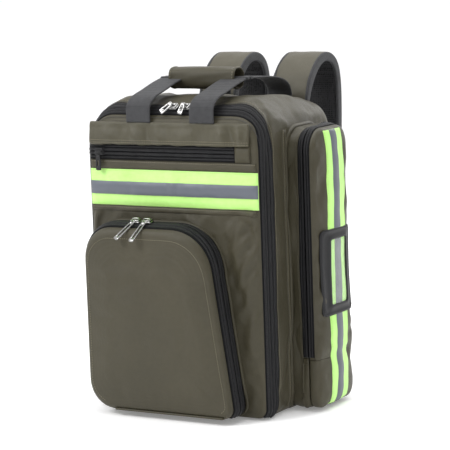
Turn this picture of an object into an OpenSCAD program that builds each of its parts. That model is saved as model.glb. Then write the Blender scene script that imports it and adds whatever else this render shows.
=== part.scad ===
// Clamshell rescue backpack: padded body, zipped lid with two front pockets,
// two zipped side pockets, grab handles joined by a grip wrap, and shoulder straps.
// X points to the right seen from the front, Y to the back, Z up.
// The origin is the centre of the base.

/* [Body] */
// Width between the side walls
body_w = 268; // [250:1:300]
// Depth from the front panel to the back wall
body_d = 220; // [200:1:250]
// Height of the crest of the top panel
body_h = 430; // [420:1:460]
// Radius of the two upper corners seen from the front
top_corner_r = 38; // [32:1:42]
// Radius of the two lower corners seen from the front
base_corner_r = 14; // [10:1:18]
// Thickness of the padded fabric walls
wall = 5; // [4:0.5:6]
// Depth of the lid, from the front panel to the main zip
lid_d = 16; // [15:1:20]

/* [Front pocket] */
// How far the front pocket stands out from the lid
front_pocket_d = 45; // [40:1:60]
// Height of the front pocket's top edge
front_pocket_top = 265; // [250:1:275]
// Distance from the middle of the bag to the pocket's left edge
front_pocket_left = 122; // [115:1:124]
// Distance from the middle of the bag to the pocket's lower right corner
front_pocket_right = 108; // [100:1:112]

/* [Side pockets] */
// How far each side pocket stands out from the body
side_pocket_d = 50; // [45:1:60]
// Length of each side pocket from front to back
side_pocket_w = 104; // [98:1:115]
// Height of the top of each side pocket
side_pocket_top = 388; // [370:1:390]
// Height of the fold where a side pocket's cover hinges
side_fold_z = 73; // [65:1:85]

/* [Tapes and zips] */
// Width of the reflective tape
tape_w = 50; // [48:1:52]
// Height of the middle of the front reflective tape
front_tape_z = 312; // [308:1:316]
// Width of one half of the main zip, tape and teeth
zip_half = 15.5; // [13:0.5:15.5]
// How far zip tape stands proud of the wall under it
zip_t = 2; // [1.5:0.1:2.5]
// Clearance between the two halves of a zip
zip_gap = 0.6; // [0.6:0.1:1]

/* [Handles and straps] */
// Width of the handle webbing
web_w = 38; // [36:1:40]
// Thickness of the handle webbing
web_t = 2.5; // [2:0.1:3]
// Distance from the middle of the bag to the middle of each handle leg
leg_x = 50; // [50:1:54]
// Height of the middle of the grip
grip_z = 455; // [452:1:462]
// Outer radius of the grip wrap
grip_r = 14; // [13:0.5:15]
// Width of each shoulder strap
strap_w = 62; // [56:1:66]
// Thickness of each shoulder strap
strap_t = 12; // [10:0.5:14]
// Distance from the middle of the bag to the middle of each shoulder strap
strap_x = 59; // [58:1:64]

/* [Hidden] */
$fn = 64;
front_y = -body_d / 2;
back_y = body_d / 2;
split_y = front_y + lid_d;
gap = zip_gap / 2;
crest_y = front_y + 50;
lid_front_top = body_h - 27;
lid_split_top = body_h - 12;
back_top = body_h - 19;
cavity_top = lid_front_top - 8;
main_zip_end_z = 8;
lid_base_z = 2;

pocket_front_y = front_y - front_pocket_d;
pocket_split_y = front_y - 20;
pocket_base_z = 8;
pocket_slope = 20;
floor_left = -front_pocket_left + 42;
floor_right = front_pocket_right - 16;

side_y = 14;
side_front_y = side_y - side_pocket_w / 2;
side_back_y = side_y + side_pocket_w / 2;
side_x0 = body_w / 2;
side_x1 = side_x0 + side_pocket_d;
side_split_x = side_x0 + 29;
side_base_z = 4;
side_chamfer = 8;
side_tape_t = 1;
window_z = 190;
window_frame = [84, 120];
window_clear = [44, 92];
frame_t = 2.5;

grip_y = -10;
grip_len = 106;
handle_foot_y = front_y - web_t / 2 - 0.1;
handle_foot_z = lid_front_top - 0.4;
rear_foot_y = back_y - 1;
rear_bar_y = grip_y + 9;

strap_end = [170, 142];
main_slider_x = 6;
main_slider_tilt = 30;
main_pull_tilt = 66;
front_slider_x = -37.5;
flap_z = 372;
top_zip_z = 361;

olive = [0.30, 0.28, 0.21];
olive_dark = [0.24, 0.22, 0.17];
black = [0.08, 0.08, 0.09];
mesh_black = [0.05, 0.05, 0.05];
silver = [0.75, 0.75, 0.76];
lime = [0.72, 1.0, 0.35];
clear = [0.6, 0.65, 0.6];

// ---- outlines ----

function unit(v) = v / norm(v);

// Arc that rounds corner b between the edges to a and to c.
function fillet(a, b, c, r, steps = 8) =
    let (
        u = unit(a - b),
        v = unit(c - b),
        half = acos(u * v) / 2,
        centre = b + unit(u + v) * r / sin(half),
        from = b + u * r / tan(half) - centre,
        to = b + v * r / tan(half) - centre,
        a0 = atan2(from.y, from.x),
        sweep = (atan2(to.y, to.x) - a0 + 540) % 360 - 180
    )
    [for (i = [0 : steps]) centre + r * [cos(a0 + sweep * i / steps), sin(a0 + sweep * i / steps)]];

// Closed outline through corner points, each [x, y, radius].
function rounded(corners) =
    let (n = len(corners))
    [for (i = [0 : n - 1])
        let (
            a = corners[(i + n - 1) % n],
            b = corners[i],
            c = corners[(i + 1) % n]
        )
        each fillet([a.x, a.y], [b.x, b.y], [c.x, c.y], b.z)];

// Open path whose inner corners are rounded.
function rounded_path(corners) =
    let (last = len(corners) - 1)
    [
        [corners[0].x, corners[0].y],
        for (i = [1 : last - 1])
            each fillet(
                [corners[i - 1].x, corners[i - 1].y],
                [corners[i].x, corners[i].y],
                [corners[i + 1].x, corners[i + 1].y],
                corners[i].z),
        [corners[last].x, corners[last].y]
    ];

// The path moved sideways by d.
function beside(path, d) =
    let (last = len(path) - 1)
    [for (i = [0 : last])
        let (along = unit(path[min(i + 1, last)] - path[max(i - 1, 0)]))
        path[i] + d * [-along.y, along.x]];

function backwards(list) = [for (i = [len(list) - 1 : -1 : 0]) list[i]];

// Flat band of thickness t along an open path.
module band(path, t) {
    polygon(concat(beside(path, t / 2), backwards(beside(path, -t / 2))));
}

// Extrudes an outline drawn in X and Z from y0 to y1.
module along_y(y0, y1) {
    translate([0, y1, 0]) rotate([90, 0, 0]) linear_extrude(y1 - y0) children();
}

// Extrudes an outline drawn in Y and Z from x0 to x1.
module along_x(x0, x1) {
    translate([x0, 0, 0]) rotate([90, 0, 90]) linear_extrude(x1 - x0) children();
}

// Body outline seen from the front, grown outwards by g.
module body_outline(g = 0, top = body_h, base = 0) {
    half = body_w / 2 + g;
    upper_r = top_corner_r + g;
    lower_r = base_corner_r + g;
    polygon(rounded([
        [-half, base - g, lower_r],
        [half, base - g, lower_r],
        [half, top + g, upper_r],
        [-half, top + g, upper_r]
    ]));
}

// ---- main body ----

// Space above the top panel, g above its surface.
module above_top(g = 0) {
    high = body_h + 60;
    along_x(-body_w, body_w) polygon([
        [front_y - 30, lid_front_top - 25 + g],
        [front_y, lid_front_top + g],
        [split_y, lid_split_top + g],
        [crest_y, body_h + g],
        [back_y, back_top + g],
        [back_y + 30, back_top - 5 + g],
        [back_y + 30, high],
        [front_y - 30, high]
    ]);
}

module body_block(y0, y1, g = 0, base = 0) {
    difference() {
        along_y(y0, y1) body_outline(g, body_h, base);
        above_top(g);
    }
}

module cavity(y0, y1) {
    along_y(y0, y1) polygon(rounded([
        [-body_w / 2 + wall, wall, base_corner_r - wall],
        [body_w / 2 - wall, wall, base_corner_r - wall],
        [body_w / 2 - wall, cavity_top, top_corner_r - wall],
        [-body_w / 2 + wall, cavity_top, top_corner_r - wall]
    ]));
}

module main_shell() {
    color(olive) difference() {
        body_block(split_y + gap, back_y);
        cavity(split_y - 1, back_y - wall);
    }
}

module base_board() {
    board = [body_w - 2 * wall - 2 * base_corner_r, body_d - lid_d - wall - 12, 3];
    color(black) translate([-board.x / 2, split_y + 8, wall]) cube(board);
}

module frame_sheet() {
    sheet_t = 2;
    color(black) along_y(back_y - wall - sheet_t, back_y - wall) polygon(rounded([
        [-105, wall + 8, 12],
        [105, wall + 8, 12],
        [105, cavity_top - 12, 24],
        [-105, cavity_top - 12, 24]
    ]));
}

module padded_divider() {
    color(olive_dark)
        translate([-body_w / 2 + wall + 1, split_y + 45, 205])
            cube([body_w - 2 * wall - 2, body_d - lid_d - wall - 50, 8]);
}

module back_pad() {
    pad_t = 12;
    channel = 28;
    color(mesh_black) difference() {
        along_y(back_y, back_y + pad_t) polygon(rounded([
            [-92, 66, 22],
            [92, 66, 22],
            [92, 362, 22],
            [-92, 362, 22]
        ]));
        translate([-channel / 2, back_y + pad_t - 6, 60]) cube([channel, 10, 310]);
    }
}

module strap_yoke() {
    color(olive_dark) along_y(back_y, back_y + 3) polygon(rounded([
        [-104, 366, 10],
        [104, 366, 10],
        [98, 398, 10],
        [-98, 398, 10]
    ]));
}

// Zip tape around the left side, top and right side of the body.
module main_zip_band(y0, y1) {
    intersection() {
        difference() {
            body_block(y0, y1, zip_t);
            body_block(y0 - 1, y1 + 1);
        }
        translate([-body_w, y0, main_zip_end_z]) cube([2 * body_w, y1 - y0, body_h + 20]);
    }
}

module main_zip_body_tape() {
    color(black) main_zip_band(split_y + gap, split_y + zip_half);
}

// ---- side pockets, drawn for the right and mirrored for the left ----

module side_outline(g = 0) {
    polygon(rounded([
        [side_front_y - g, side_base_z - g, 16 + g],
        [side_back_y + g, side_base_z - g, 16 + g],
        [side_back_y + g, side_pocket_top + g, 30 + g],
        [side_front_y - g, side_pocket_top + g, 30 + g]
    ]));
}

module below_fold(z = side_fold_z) {
    translate([side_x0 - 5, side_front_y - 20, -20]) cube([side_pocket_d + 30, side_pocket_w + 40, z + 20]);
}

// Hollow outer part of a side pocket, stepped in around its outer face.
module side_block(x0, x1) {
    difference() {
        union() {
            along_x(x0, x1 - side_chamfer) side_outline();
            along_x(x1 - side_chamfer, x1) side_outline(-side_chamfer);
        }
        along_x(x0 - 1, x1 - side_chamfer - 3) side_outline(-3);
        along_x(x0 - 1, x1 - 3) side_outline(-side_chamfer - 3);
    }
}

module right_pocket_wall() {
    color(olive) union() {
        difference() {
            along_x(side_x0, side_split_x - gap) side_outline();
            along_x(side_x0 - 1, side_split_x + 1) side_outline(-3);
        }
        intersection() {
            side_block(side_split_x - gap - 0.01, side_x1);
            below_fold();
        }
    }
}

module side_zip_band(x0, x1) {
    difference() {
        along_x(x0, x1) side_outline(zip_t - 0.5);
        along_x(x0 - 1, x1 + 1) side_outline();
        below_fold(side_fold_z + gap);
    }
}

module right_zip_wall_tape() {
    color(black) side_zip_band(side_split_x - 9, side_split_x - gap);
}

module side_cover() {
    color(olive) difference() {
        side_block(side_split_x + gap, side_x1);
        below_fold(side_fold_z + gap);
    }
}

module side_cover_zip() {
    color(black) side_zip_band(side_split_x + gap, side_split_x + 9);
}

module side_tape(z0, z1) {
    color(lime) translate([side_x1, side_y - tape_w / 2, z0]) cube([side_tape_t, tape_w, z1 - z0]);
}

module right_lower_tape() {
    side_tape(side_base_z + side_chamfer, side_fold_z);
}

module right_cover_tape() {
    side_tape(side_fold_z + gap, side_pocket_top - side_chamfer);
}

module window_plate(size, x0, x1) {
    translate([x0, side_y - size.x / 2, window_z - size.y / 2]) cube([x1 - x0, size.x, size.y]);
}

module right_window_frame() {
    x0 = side_x1 + side_tape_t;
    color(black) difference() {
        window_plate(window_frame, x0, x0 + frame_t);
        window_plate(window_clear, x0 - 1, x0 + frame_t + 1);
    }
}

module right_window_film() {
    x0 = side_x1 + side_tape_t + 0.8;
    color(clear) window_plate(window_clear, x0, x0 + 0.6);
}

module lower_tab() {
    color(black) along_x(88, 120) polygon([
        [back_y, 22],
        [back_y + 3, 22],
        [back_y + 7, 40],
        [back_y + 4, 58],
        [back_y, 58]
    ]);
}

// ---- lid ----

module lid_panel() {
    color(olive) difference() {
        body_block(front_y, split_y - gap, 0, lid_base_z);
        cavity(front_y + 4, split_y + 1);
    }
}

module main_zip_lid_tape() {
    color(black) main_zip_band(split_y - zip_half, split_y - gap);
}

// Flat panel sewn on the lid's face between two heights.
module face_panel(x0, x1, z0, z1, t) {
    translate([x0, front_y - t, z0]) cube([x1 - x0, t, z1 - z0]);
}

module top_flap() {
    color(olive) face_panel(-body_w / 2 + 4, body_w / 2 - 12, flap_z, lid_front_top - 3, 3);
}

module top_pocket_zip() {
    color(black) face_panel(-body_w / 2 + 1, 99, flap_z - 22, flap_z, 1.2);
}

module zip_end_tab() {
    color(olive) face_panel(99.5, 122, flap_z - 22, flap_z, 1.6);
}

module front_tape() {
    color(lime)
        face_panel(-body_w / 2 + 1, body_w / 2 - 1, front_tape_z - tape_w / 2, front_tape_z + tape_w / 2, 1);
}

module top_pocket_lining() {
    color(olive_dark) translate([-112, front_y + 4, 205]) cube([224, 3, 168]);
}

module lid_mesh_pocket() {
    color(mesh_black) translate([-105, front_y + 7.5, 40]) cube([210, 2.5, 250]);
}

// ---- front pocket ----

// Pocket outline seen from the front, grown outwards by g. Its right side leans out.
function pocket_corners(g) = [
    [-front_pocket_left - g, pocket_base_z - g, 40 + g],
    [front_pocket_right + g, pocket_base_z - g, 14 + g],
    [front_pocket_right - 36 + g, front_pocket_top + g, 62 + g],
    [-front_pocket_left - g, front_pocket_top + g, 42 + g]
];

module pocket_block(y0, y1, g = 0) {
    difference() {
        along_y(y0, y1) polygon(rounded(pocket_corners(g)));
        along_x(-body_w, body_w) polygon([
            [pocket_front_y - 5, front_pocket_top - pocket_slope - 5 + g],
            [pocket_front_y + 25, front_pocket_top + 3.75 + g],
            [pocket_front_y + 25, front_pocket_top + 40],
            [pocket_front_y - 5, front_pocket_top + 40]
        ]);
    }
}

module pocket_hollow(y0, y1) {
    intersection() {
        along_y(y0, y1) polygon(rounded(pocket_corners(-3)));
        translate([-body_w, y0, 0]) cube([2 * body_w, y1 - y0, front_pocket_top - pocket_slope - 5]);
    }
}

module front_pocket_wall() {
    color(olive) union() {
        difference() {
            pocket_block(pocket_split_y + gap, front_y);
            along_y(pocket_split_y - 1, front_y + 1) polygon(rounded(pocket_corners(-3)));
        }
        translate([floor_left, pocket_front_y, pocket_base_z])
            cube([floor_right - floor_left, pocket_split_y + 1 - pocket_front_y, 3]);
    }
}

module front_zip_band(y0, y1) {
    difference() {
        pocket_block(y0, y1, zip_t);
        pocket_block(y0 - 1, y1 + 1);
        translate([-body_w, y0 - 1, 0]) cube([2 * body_w, y1 - y0 + 2, pocket_base_z + 10]);
    }
}

module front_zip_wall_tape() {
    color(black) front_zip_band(pocket_split_y + gap, front_y - 4);
}

module front_pocket_cover() {
    color(olive) difference() {
        pocket_block(pocket_front_y, pocket_split_y - gap);
        pocket_hollow(pocket_front_y + 3, pocket_split_y + 1);
        translate([floor_left - 0.5, pocket_front_y - 1, 0])
            cube([floor_right - floor_left + 1, front_pocket_d, pocket_base_z + 3.4]);
    }
}

module front_zip_cover_tape() {
    color(black) front_zip_band(pocket_split_y - zip_half, pocket_split_y - gap);
}

// ---- handles ----

front_leg_path = rounded_path([
    [handle_foot_y, handle_foot_z, 0],
    [handle_foot_y, lid_front_top + 28, 14],
    [grip_y - 6, grip_z, 0]
]);

rear_leg_path = rounded_path([
    [rear_foot_y, back_top + 1, 0],
    [rear_foot_y + 2, grip_z - 8, 26],
    [rear_bar_y, grip_z, 0]
]);

module legs(path) {
    for (side = [-1, 1])
        along_x(side * leg_x - web_w / 2, side * leg_x + web_w / 2) band(path, web_t);
}

// The legs fold into the ends of the grip wrap, and a bar of webbing runs through it.
module front_handle() {
    wrap_room = grip_len + 1;
    color(black) union() {
        difference() {
            legs(front_leg_path);
            translate([-wrap_room / 2, grip_y, grip_z]) rotate([90, 0, 90])
                cylinder(h = wrap_room, r = grip_r + 0.5);
        }
        translate([-leg_x - web_w / 2, grip_y - 8, grip_z - 3]) cube([2 * leg_x + web_w, 8, 6]);
    }
}

module grip_wrap() {
    lip = 62;
    color(olive) translate([-grip_len / 2, grip_y, grip_z]) rotate([90, 0, 90]) difference() {
        cylinder(h = grip_len, r = grip_r);
        translate([0, 0, -1]) cylinder(h = grip_len + 2, r = grip_r - 3);
        translate([0, 0, -1]) linear_extrude(grip_len + 2)
            polygon([[0, 0], 40 * [cos(lip), -sin(lip)], [60, 0], 40 * [cos(lip), sin(lip)]]);
    }
}

module rear_handle() {
    color(black) union() {
        legs(rear_leg_path);
        translate([-leg_x - web_w / 2, rear_bar_y - web_t / 2, grip_z - 8]) cube([2 * leg_x + web_w, web_t, 16]);
    }
}

// ---- shoulder straps ----

strap_path = rounded_path([
    [back_y + 10, 394, 0],
    [back_y + 18, 424, 30],
    [back_y + 60, 472, 22],
    [back_y + 116, 466, 38],
    [back_y + 110, 330, 150],
    [strap_end.x, strap_end.y, 0]
]);

module right_strap() {
    color(olive) along_x(strap_x - strap_w / 2, strap_x + strap_w / 2) band(strap_path, strap_t);
}

module right_ladder_lock() {
    color(black) translate([strap_x - 17, strap_end.x - 4.5, strap_end.y - 12]) rotate([-22, 0, 0])
        translate([0, 0, -16]) difference() {
            cube([34, 5, 26]);
            translate([4, -1, 5]) cube([26, 7, 5]);
            translate([4, -1, 16]) cube([26, 7, 5]);
        }
}

module right_strap_webbing() {
    top = [strap_x - 12.5, strap_end.x - 15, strap_end.y - 34];
    foot = [91.5, back_y + 8.5, 46];
    color(black) hull() {
        translate(top) cube([25, 2, 2]);
        translate(foot) cube([25, 2, 2]);
    }
}

// ---- zip sliders and pullers, drawn lying along X on a surface at z = 0 ----

module slider_body() {
    color(silver) union() {
        translate([-8, -5.5, 0]) cube([16, 11, 2.2]);
        translate([-7, -5.5, 2.2]) cube([14, 11, 2.2]);
        translate([-4, -1.5, 4.4]) cube([8, 3, 1.6]);
    }
}

// Plate that hangs from the slider; its length runs along -Y.
module puller_plate(length) {
    color(silver) difference() {
        union() {
            translate([-4, -length + 4, 0]) cube([8, length - 6, 1.6]);
            translate([0, -length + 4, 0]) cylinder(h = 1.6, r = 4);
            translate([0, -2, 0]) cylinder(h = 1.6, r = 4);
        }
        translate([0, -3, -1]) cylinder(h = 4, r = 1.6);
    }
}

module main_slider(side) {
    translate([main_slider_x + side * 10, split_y, lid_split_top + zip_t + 1])
        rotate([main_slider_tilt, 0, 0]) slider_body();
}

module main_puller(side, lean, length) {
    translate([main_slider_x + side * 10, split_y - 6.1, lid_split_top + zip_t + 6.6])
        rotate([main_pull_tilt, 0, 0]) rotate([0, 0, -lean]) puller_plate(length);
}

module front_slider(side) {
    translate([front_slider_x + side * 9, pocket_split_y - 2, front_pocket_top + zip_t + 0.6])
        rotate([12, 0, 0]) slider_body();
}

module front_puller(side, lean) {
    translate([front_slider_x + side * 9, pocket_split_y - 10.5, front_pocket_top + zip_t + 1.5])
        rotate([42, 0, 0]) rotate([0, 0, -lean]) puller_plate(38);
}

module top_pocket_slider() {
    translate([-114, front_y - 1.5, top_zip_z]) rotate([90, 0, 0]) slider_body();
}

module top_pocket_puller() {
    translate([-114, front_y - 6.5, top_zip_z - 7]) rotate([90, 0, 0]) puller_plate(22);
}

module right_side_slider() {
    translate([side_split_x, side_back_y + zip_t, 340]) rotate([-90, 90, 0]) slider_body();
}

module right_side_puller() {
    translate([side_split_x, side_back_y + zip_t + 6.6, 331]) rotate([90, 0, 0])
        translate([0, 0, -1.6]) puller_plate(28);
}

module mirrored() {
    mirror([1, 0, 0]) children();
}

main_shell();
base_board();
frame_sheet();
padded_divider();
back_pad();
strap_yoke();
main_zip_body_tape();
right_pocket_wall();
mirrored() right_pocket_wall();  // left_pocket_wall
right_zip_wall_tape();
mirrored() right_zip_wall_tape();  // left_zip_wall_tape
right_lower_tape();
mirrored() right_lower_tape();  // left_lower_tape
lower_tab();  // right_lower_tab
mirrored() lower_tab();  // left_lower_tab
lid_panel();
main_zip_lid_tape();
top_flap();
top_pocket_zip();
zip_end_tab();
front_tape();
top_pocket_lining();
lid_mesh_pocket();
front_pocket_wall();
front_zip_wall_tape();
front_pocket_cover();
front_zip_cover_tape();
side_cover();  // right_cover
mirrored() side_cover();  // left_cover
side_cover_zip();  // right_zip_cover_tape
mirrored() side_cover_zip();  // left_zip_cover_tape
right_cover_tape();
mirrored() right_cover_tape();  // left_cover_tape
right_window_frame();
mirrored() right_window_frame();  // left_window_frame
right_window_film();
mirrored() right_window_film();  // left_window_film
front_handle();
grip_wrap();
rear_handle();
right_strap();
mirrored() right_strap();  // left_strap
right_ladder_lock();
mirrored() right_ladder_lock();  // left_ladder_lock
right_strap_webbing();
mirrored() right_strap_webbing();  // left_strap_webbing
main_slider(-1);  // main_slider_left
main_slider(1);  // main_slider_right
main_puller(-1, 48, 22);  // main_puller_left
main_puller(1, 14, 18);  // main_puller_right
front_slider(-1);  // front_slider_left
front_slider(1);  // front_slider_right
front_puller(-1, 25);  // front_puller_left
front_puller(1, 12);  // front_puller_right
top_pocket_slider();
top_pocket_puller();
right_side_slider();
mirrored() right_side_slider();  // left_side_slider
right_side_puller();
mirrored() right_side_puller();  // left_side_puller
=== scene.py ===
import math

import bmesh
import bpy
import numpy as np
from mathutils import Matrix, Vector, noise
from mathutils.bvhtree import BVHTree


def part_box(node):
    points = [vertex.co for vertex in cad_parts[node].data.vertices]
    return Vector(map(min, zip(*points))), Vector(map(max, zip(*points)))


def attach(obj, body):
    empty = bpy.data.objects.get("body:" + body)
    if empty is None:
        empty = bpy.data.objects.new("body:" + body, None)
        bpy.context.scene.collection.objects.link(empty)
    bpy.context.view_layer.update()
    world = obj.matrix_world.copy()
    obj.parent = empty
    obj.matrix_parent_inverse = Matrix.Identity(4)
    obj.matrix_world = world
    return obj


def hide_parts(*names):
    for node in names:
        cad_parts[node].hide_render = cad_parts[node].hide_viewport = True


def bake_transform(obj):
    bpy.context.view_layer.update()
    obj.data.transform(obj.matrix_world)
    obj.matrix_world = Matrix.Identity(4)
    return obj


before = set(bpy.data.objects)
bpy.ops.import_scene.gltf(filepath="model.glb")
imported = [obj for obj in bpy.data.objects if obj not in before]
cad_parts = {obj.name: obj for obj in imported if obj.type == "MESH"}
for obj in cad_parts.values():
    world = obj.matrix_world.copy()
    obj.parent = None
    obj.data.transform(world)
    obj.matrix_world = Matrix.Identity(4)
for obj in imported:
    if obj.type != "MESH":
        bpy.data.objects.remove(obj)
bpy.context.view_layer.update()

MM = 0.001
X, Y, Z = np.eye(3)


# ---------------------------------------------------------------- places from the frame

def span(node, axis):
    """Lowest and highest value of a CAD node along axis 0, 1 or 2."""
    low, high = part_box(node)
    return low[axis], high[axis]


half_w = span("main_shell", 0)[1]
crest_z = span("main_shell", 2)[1]
back_y = span("main_shell", 1)[1]
front_y = span("lid_panel", 1)[0]
split_y = (span("lid_panel", 1)[1] + span("main_shell", 1)[0]) / 2
zip_gap = 0.3 * MM
lid_front_top = crest_z - 27 * MM
lid_split_top = crest_z - 12 * MM
back_top = crest_z - 19 * MM
TOP_R = 38 * MM
BASE_R = 14 * MM

pocket_front_y = span("front_pocket_cover", 1)[0]
pocket_split_y = span("front_pocket_cover", 1)[1] + zip_gap
pocket_low, pocket_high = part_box("front_pocket_wall")
side_low, side_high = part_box("right_pocket_wall")
side_split_x = span("right_cover", 0)[0] - zip_gap
side_x1 = span("right_cover", 0)[1]
fold_z = span("right_lower_tape", 2)[1]
tape_low, tape_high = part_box("front_tape")
flap_low, flap_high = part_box("top_flap")
topzip_low, topzip_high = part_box("top_pocket_zip")
wrap_low, wrap_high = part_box("grip_wrap")
grip_y = wrap_low.y + 14 * MM
grip_z = (wrap_low.z + wrap_high.z) / 2
strap_low, strap_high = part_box("right_strap")
strap_x = (strap_low.x + strap_high.x) / 2


# ---------------------------------------------------------------- camera, light, floor

def camera():
    """The photograph's view: a long lens, a little above the bag and to its right."""
    azimuth, elevation, roll = (math.radians(a) for a in (30.35, 8.09, -2.03))
    aim = Vector((0, -0.010, 0.2483))
    back = Vector((
        math.sin(azimuth) * math.cos(elevation),
        -math.cos(azimuth) * math.cos(elevation),
        math.sin(elevation),
    ))
    right = Vector((math.cos(azimuth), math.sin(azimuth), 0))
    up = back.cross(right)
    rolled_right = math.cos(roll) * right + math.sin(roll) * up
    rolled_up = back.cross(rolled_right)
    data = bpy.data.cameras.new("camera")
    data.lens = 164.96
    data.sensor_width = 36
    data.shift_x = 0.0304
    data.clip_end = 30
    thing = bpy.data.objects.new("camera", data)
    bpy.context.scene.collection.objects.link(thing)
    turn = Matrix((rolled_right, rolled_up, back)).transposed().to_4x4()
    thing.matrix_world = Matrix.Translation(aim + back * 2.892) @ turn
    bpy.context.scene.camera = thing


def area_light(name, place, aim, size, power, colour=(1, 1, 1)):
    data = bpy.data.lights.new(name, "AREA")
    data.shape = "RECTANGLE"
    data.size, data.size_y = size
    data.energy = power
    data.color = colour
    thing = bpy.data.objects.new(name, data)
    bpy.context.scene.collection.objects.link(thing)
    thing.location = place
    thing.rotation_euler = (Vector(aim) - Vector(place)).to_track_quat("-Z", "Y").to_euler()


def studio():
    area_light("key", (-1.3, -1.7, 2.1), (0, 0, 0.25), (0.9, 0.9), 34)
    area_light("top", (0.2, 0.2, 2.2), (0, 0, 0.3), (1.2, 1.2), 22)
    area_light("fill", (2.3, -0.8, 0.9), (0, 0, 0.25), (0.8, 1.4), 4)
    area_light("rear", (0.6, 2.0, 1.5), (0, 0, 0.25), (1.4, 1.4), 12)
    world = bpy.data.worlds.new("studio")
    world.use_nodes = True
    nodes, links = world.node_tree.nodes, world.node_tree.links
    background = nodes["Background"]
    background.inputs["Color"].default_value = (1, 1, 1, 1)
    towards = nodes.new("ShaderNodeTexCoord")
    lit_side = nodes.new("ShaderNodeVectorMath")
    lit_side.operation = "DOT_PRODUCT"
    lit_side.inputs[1].default_value = (-0.85, 0.25, 0.45)
    links.new(towards.outputs["Generated"], lit_side.inputs[0])
    strength = nodes.new("ShaderNodeMapRange")
    strength.inputs["From Min"].default_value = -0.8
    strength.inputs["From Max"].default_value = 0.45
    strength.inputs["To Min"].default_value = 0.32
    strength.inputs["To Max"].default_value = 1.0
    links.new(lit_side.outputs["Value"], strength.inputs["Value"])
    links.new(strength.outputs["Result"], background.inputs["Strength"])
    bpy.context.scene.world = world
    bpy.context.scene.view_settings.view_transform = "Standard"
    data = bpy.data.meshes.new("floor")
    reach = 30
    data.from_pydata([(-reach, -reach, 0), (reach, -reach, 0), (reach, reach, 0), (-reach, reach, 0)], [],
                     [(0, 1, 2, 3)])
    floor = bpy.data.objects.new("floor", data)
    bpy.context.scene.collection.objects.link(floor)
    mat = bpy.data.materials.new("floor")
    mat.use_nodes = True
    shader = mat.node_tree.nodes["Principled BSDF"]
    shader.inputs["Base Color"].default_value = (0.95, 0.95, 0.95, 1)
    shader.inputs["Roughness"].default_value = 0.7
    shader.inputs["Emission Color"].default_value = (1, 1, 1, 1)
    shader.inputs["Emission Strength"].default_value = 0.2
    data.materials.append(mat)


camera()
studio()


# ---------------------------------------------------------------- materials

class Tree:
    """A material's nodes, made and linked in short calls."""

    def __init__(self, name):
        self.mat = bpy.data.materials.new(name)
        self.mat.use_nodes = True
        self.nodes = self.mat.node_tree.nodes
        self.links = self.mat.node_tree.links
        self.shader = self.nodes["Principled BSDF"]
        self.place = self.node("ShaderNodeTexCoord").outputs["Object"]

    def node(self, kind, **settings):
        made = self.nodes.new(kind)
        for key, value in settings.items():
            setattr(made, key, value)
        return made

    def feed(self, socket, value):
        if isinstance(value, bpy.types.NodeSocket):
            self.links.new(value, socket)
        else:
            socket.default_value = value

    def maths(self, operation, a, b=0.0):
        made = self.node("ShaderNodeMath", operation=operation)
        self.feed(made.inputs[0], a)
        self.feed(made.inputs[1], b)
        return made.outputs[0]

    def noise(self, scale, detail=2.0, roughness=0.5):
        made = self.node("ShaderNodeTexNoise")
        self.feed(made.inputs["Vector"], self.place)
        made.inputs["Scale"].default_value = scale
        made.inputs["Detail"].default_value = detail
        made.inputs["Roughness"].default_value = roughness
        return made.outputs["Fac"]

    def ramp(self, value, low, high, out_low, out_high):
        made = self.node("ShaderNodeMapRange")
        for key, number in (("Value", value), ("From Min", low), ("From Max", high),
                            ("To Min", out_low), ("To Max", out_high)):
            self.feed(made.inputs[key], number)
        return made.outputs["Result"]

    def blend(self, factor, a, b):
        made = self.node("ShaderNodeMix", data_type="RGBA")
        self.feed(made.inputs["Factor"], factor)
        made.inputs["A"].default_value = (*a, 1)
        made.inputs["B"].default_value = (*b, 1)
        return made.outputs["Result"]

    def weave(self, pitch, diagonal=False):
        """Threads crossing at that pitch on any face, from sines of the three coordinates."""
        split = self.node("ShaderNodeSeparateXYZ")
        self.feed(split.inputs[0], self.place)
        turns = 2 * math.pi / pitch
        x, y, z = (split.outputs[k] for k in "XYZ")
        if diagonal:
            x, z = self.maths("ADD", x, z), self.maths("SUBTRACT", x, z)
        waves = [self.maths("SINE", self.maths("MULTIPLY", c, turns)) for c in (x, y, z)]
        crossed = self.maths("MULTIPLY", self.maths("ADD", waves[0], waves[1]), 0.5)
        crossed = self.maths("MULTIPLY", crossed, self.maths("ADD", waves[2], 0.2))
        return self.maths("ADD", crossed, self.maths("MULTIPLY", waves[2], 0.4))

    def bump(self, height, distance, strength=1.0, under=None):
        made = self.node("ShaderNodeBump")
        made.inputs["Strength"].default_value = strength
        made.inputs["Distance"].default_value = distance
        self.feed(made.inputs["Height"], height)
        if under is not None:
            self.feed(made.inputs["Normal"], under)
        return made.outputs["Normal"]

    def set(self, **values):
        for key, value in values.items():
            self.feed(self.shader.inputs[key.replace("_", " ")], value)
        return self.mat


def cloth(name, dark, light, pitch, depth, rough=(0.42, 0.58), sheen=0.15, crinkle=0.25 * MM,
          diagonal=False, spec=0.5):
    """Woven cloth: a weave in the bump, soft creasing, and mottled colour and gloss."""
    tree = Tree(name)
    mottle = tree.noise(9, 4, 0.6)
    fine = tree.noise(160, 2)
    crinkled = tree.bump(tree.noise(55, 5, 0.6), crinkle)
    woven = tree.bump(tree.weave(pitch, diagonal), depth, under=crinkled)
    tone = tree.maths("ADD", tree.maths("MULTIPLY", mottle, 0.75), tree.maths("MULTIPLY", fine, 0.25))
    return tree.set(
        Base_Color=tree.blend(tree.ramp(tone, 0.35, 0.65, 0, 1), dark, light),
        Roughness=tree.ramp(mottle, 0.3, 0.7, *rough),
        Normal=woven,
        Sheen_Weight=sheen,
        Sheen_Roughness=0.5,
        Specular_IOR_Level=spec,
    )


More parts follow.
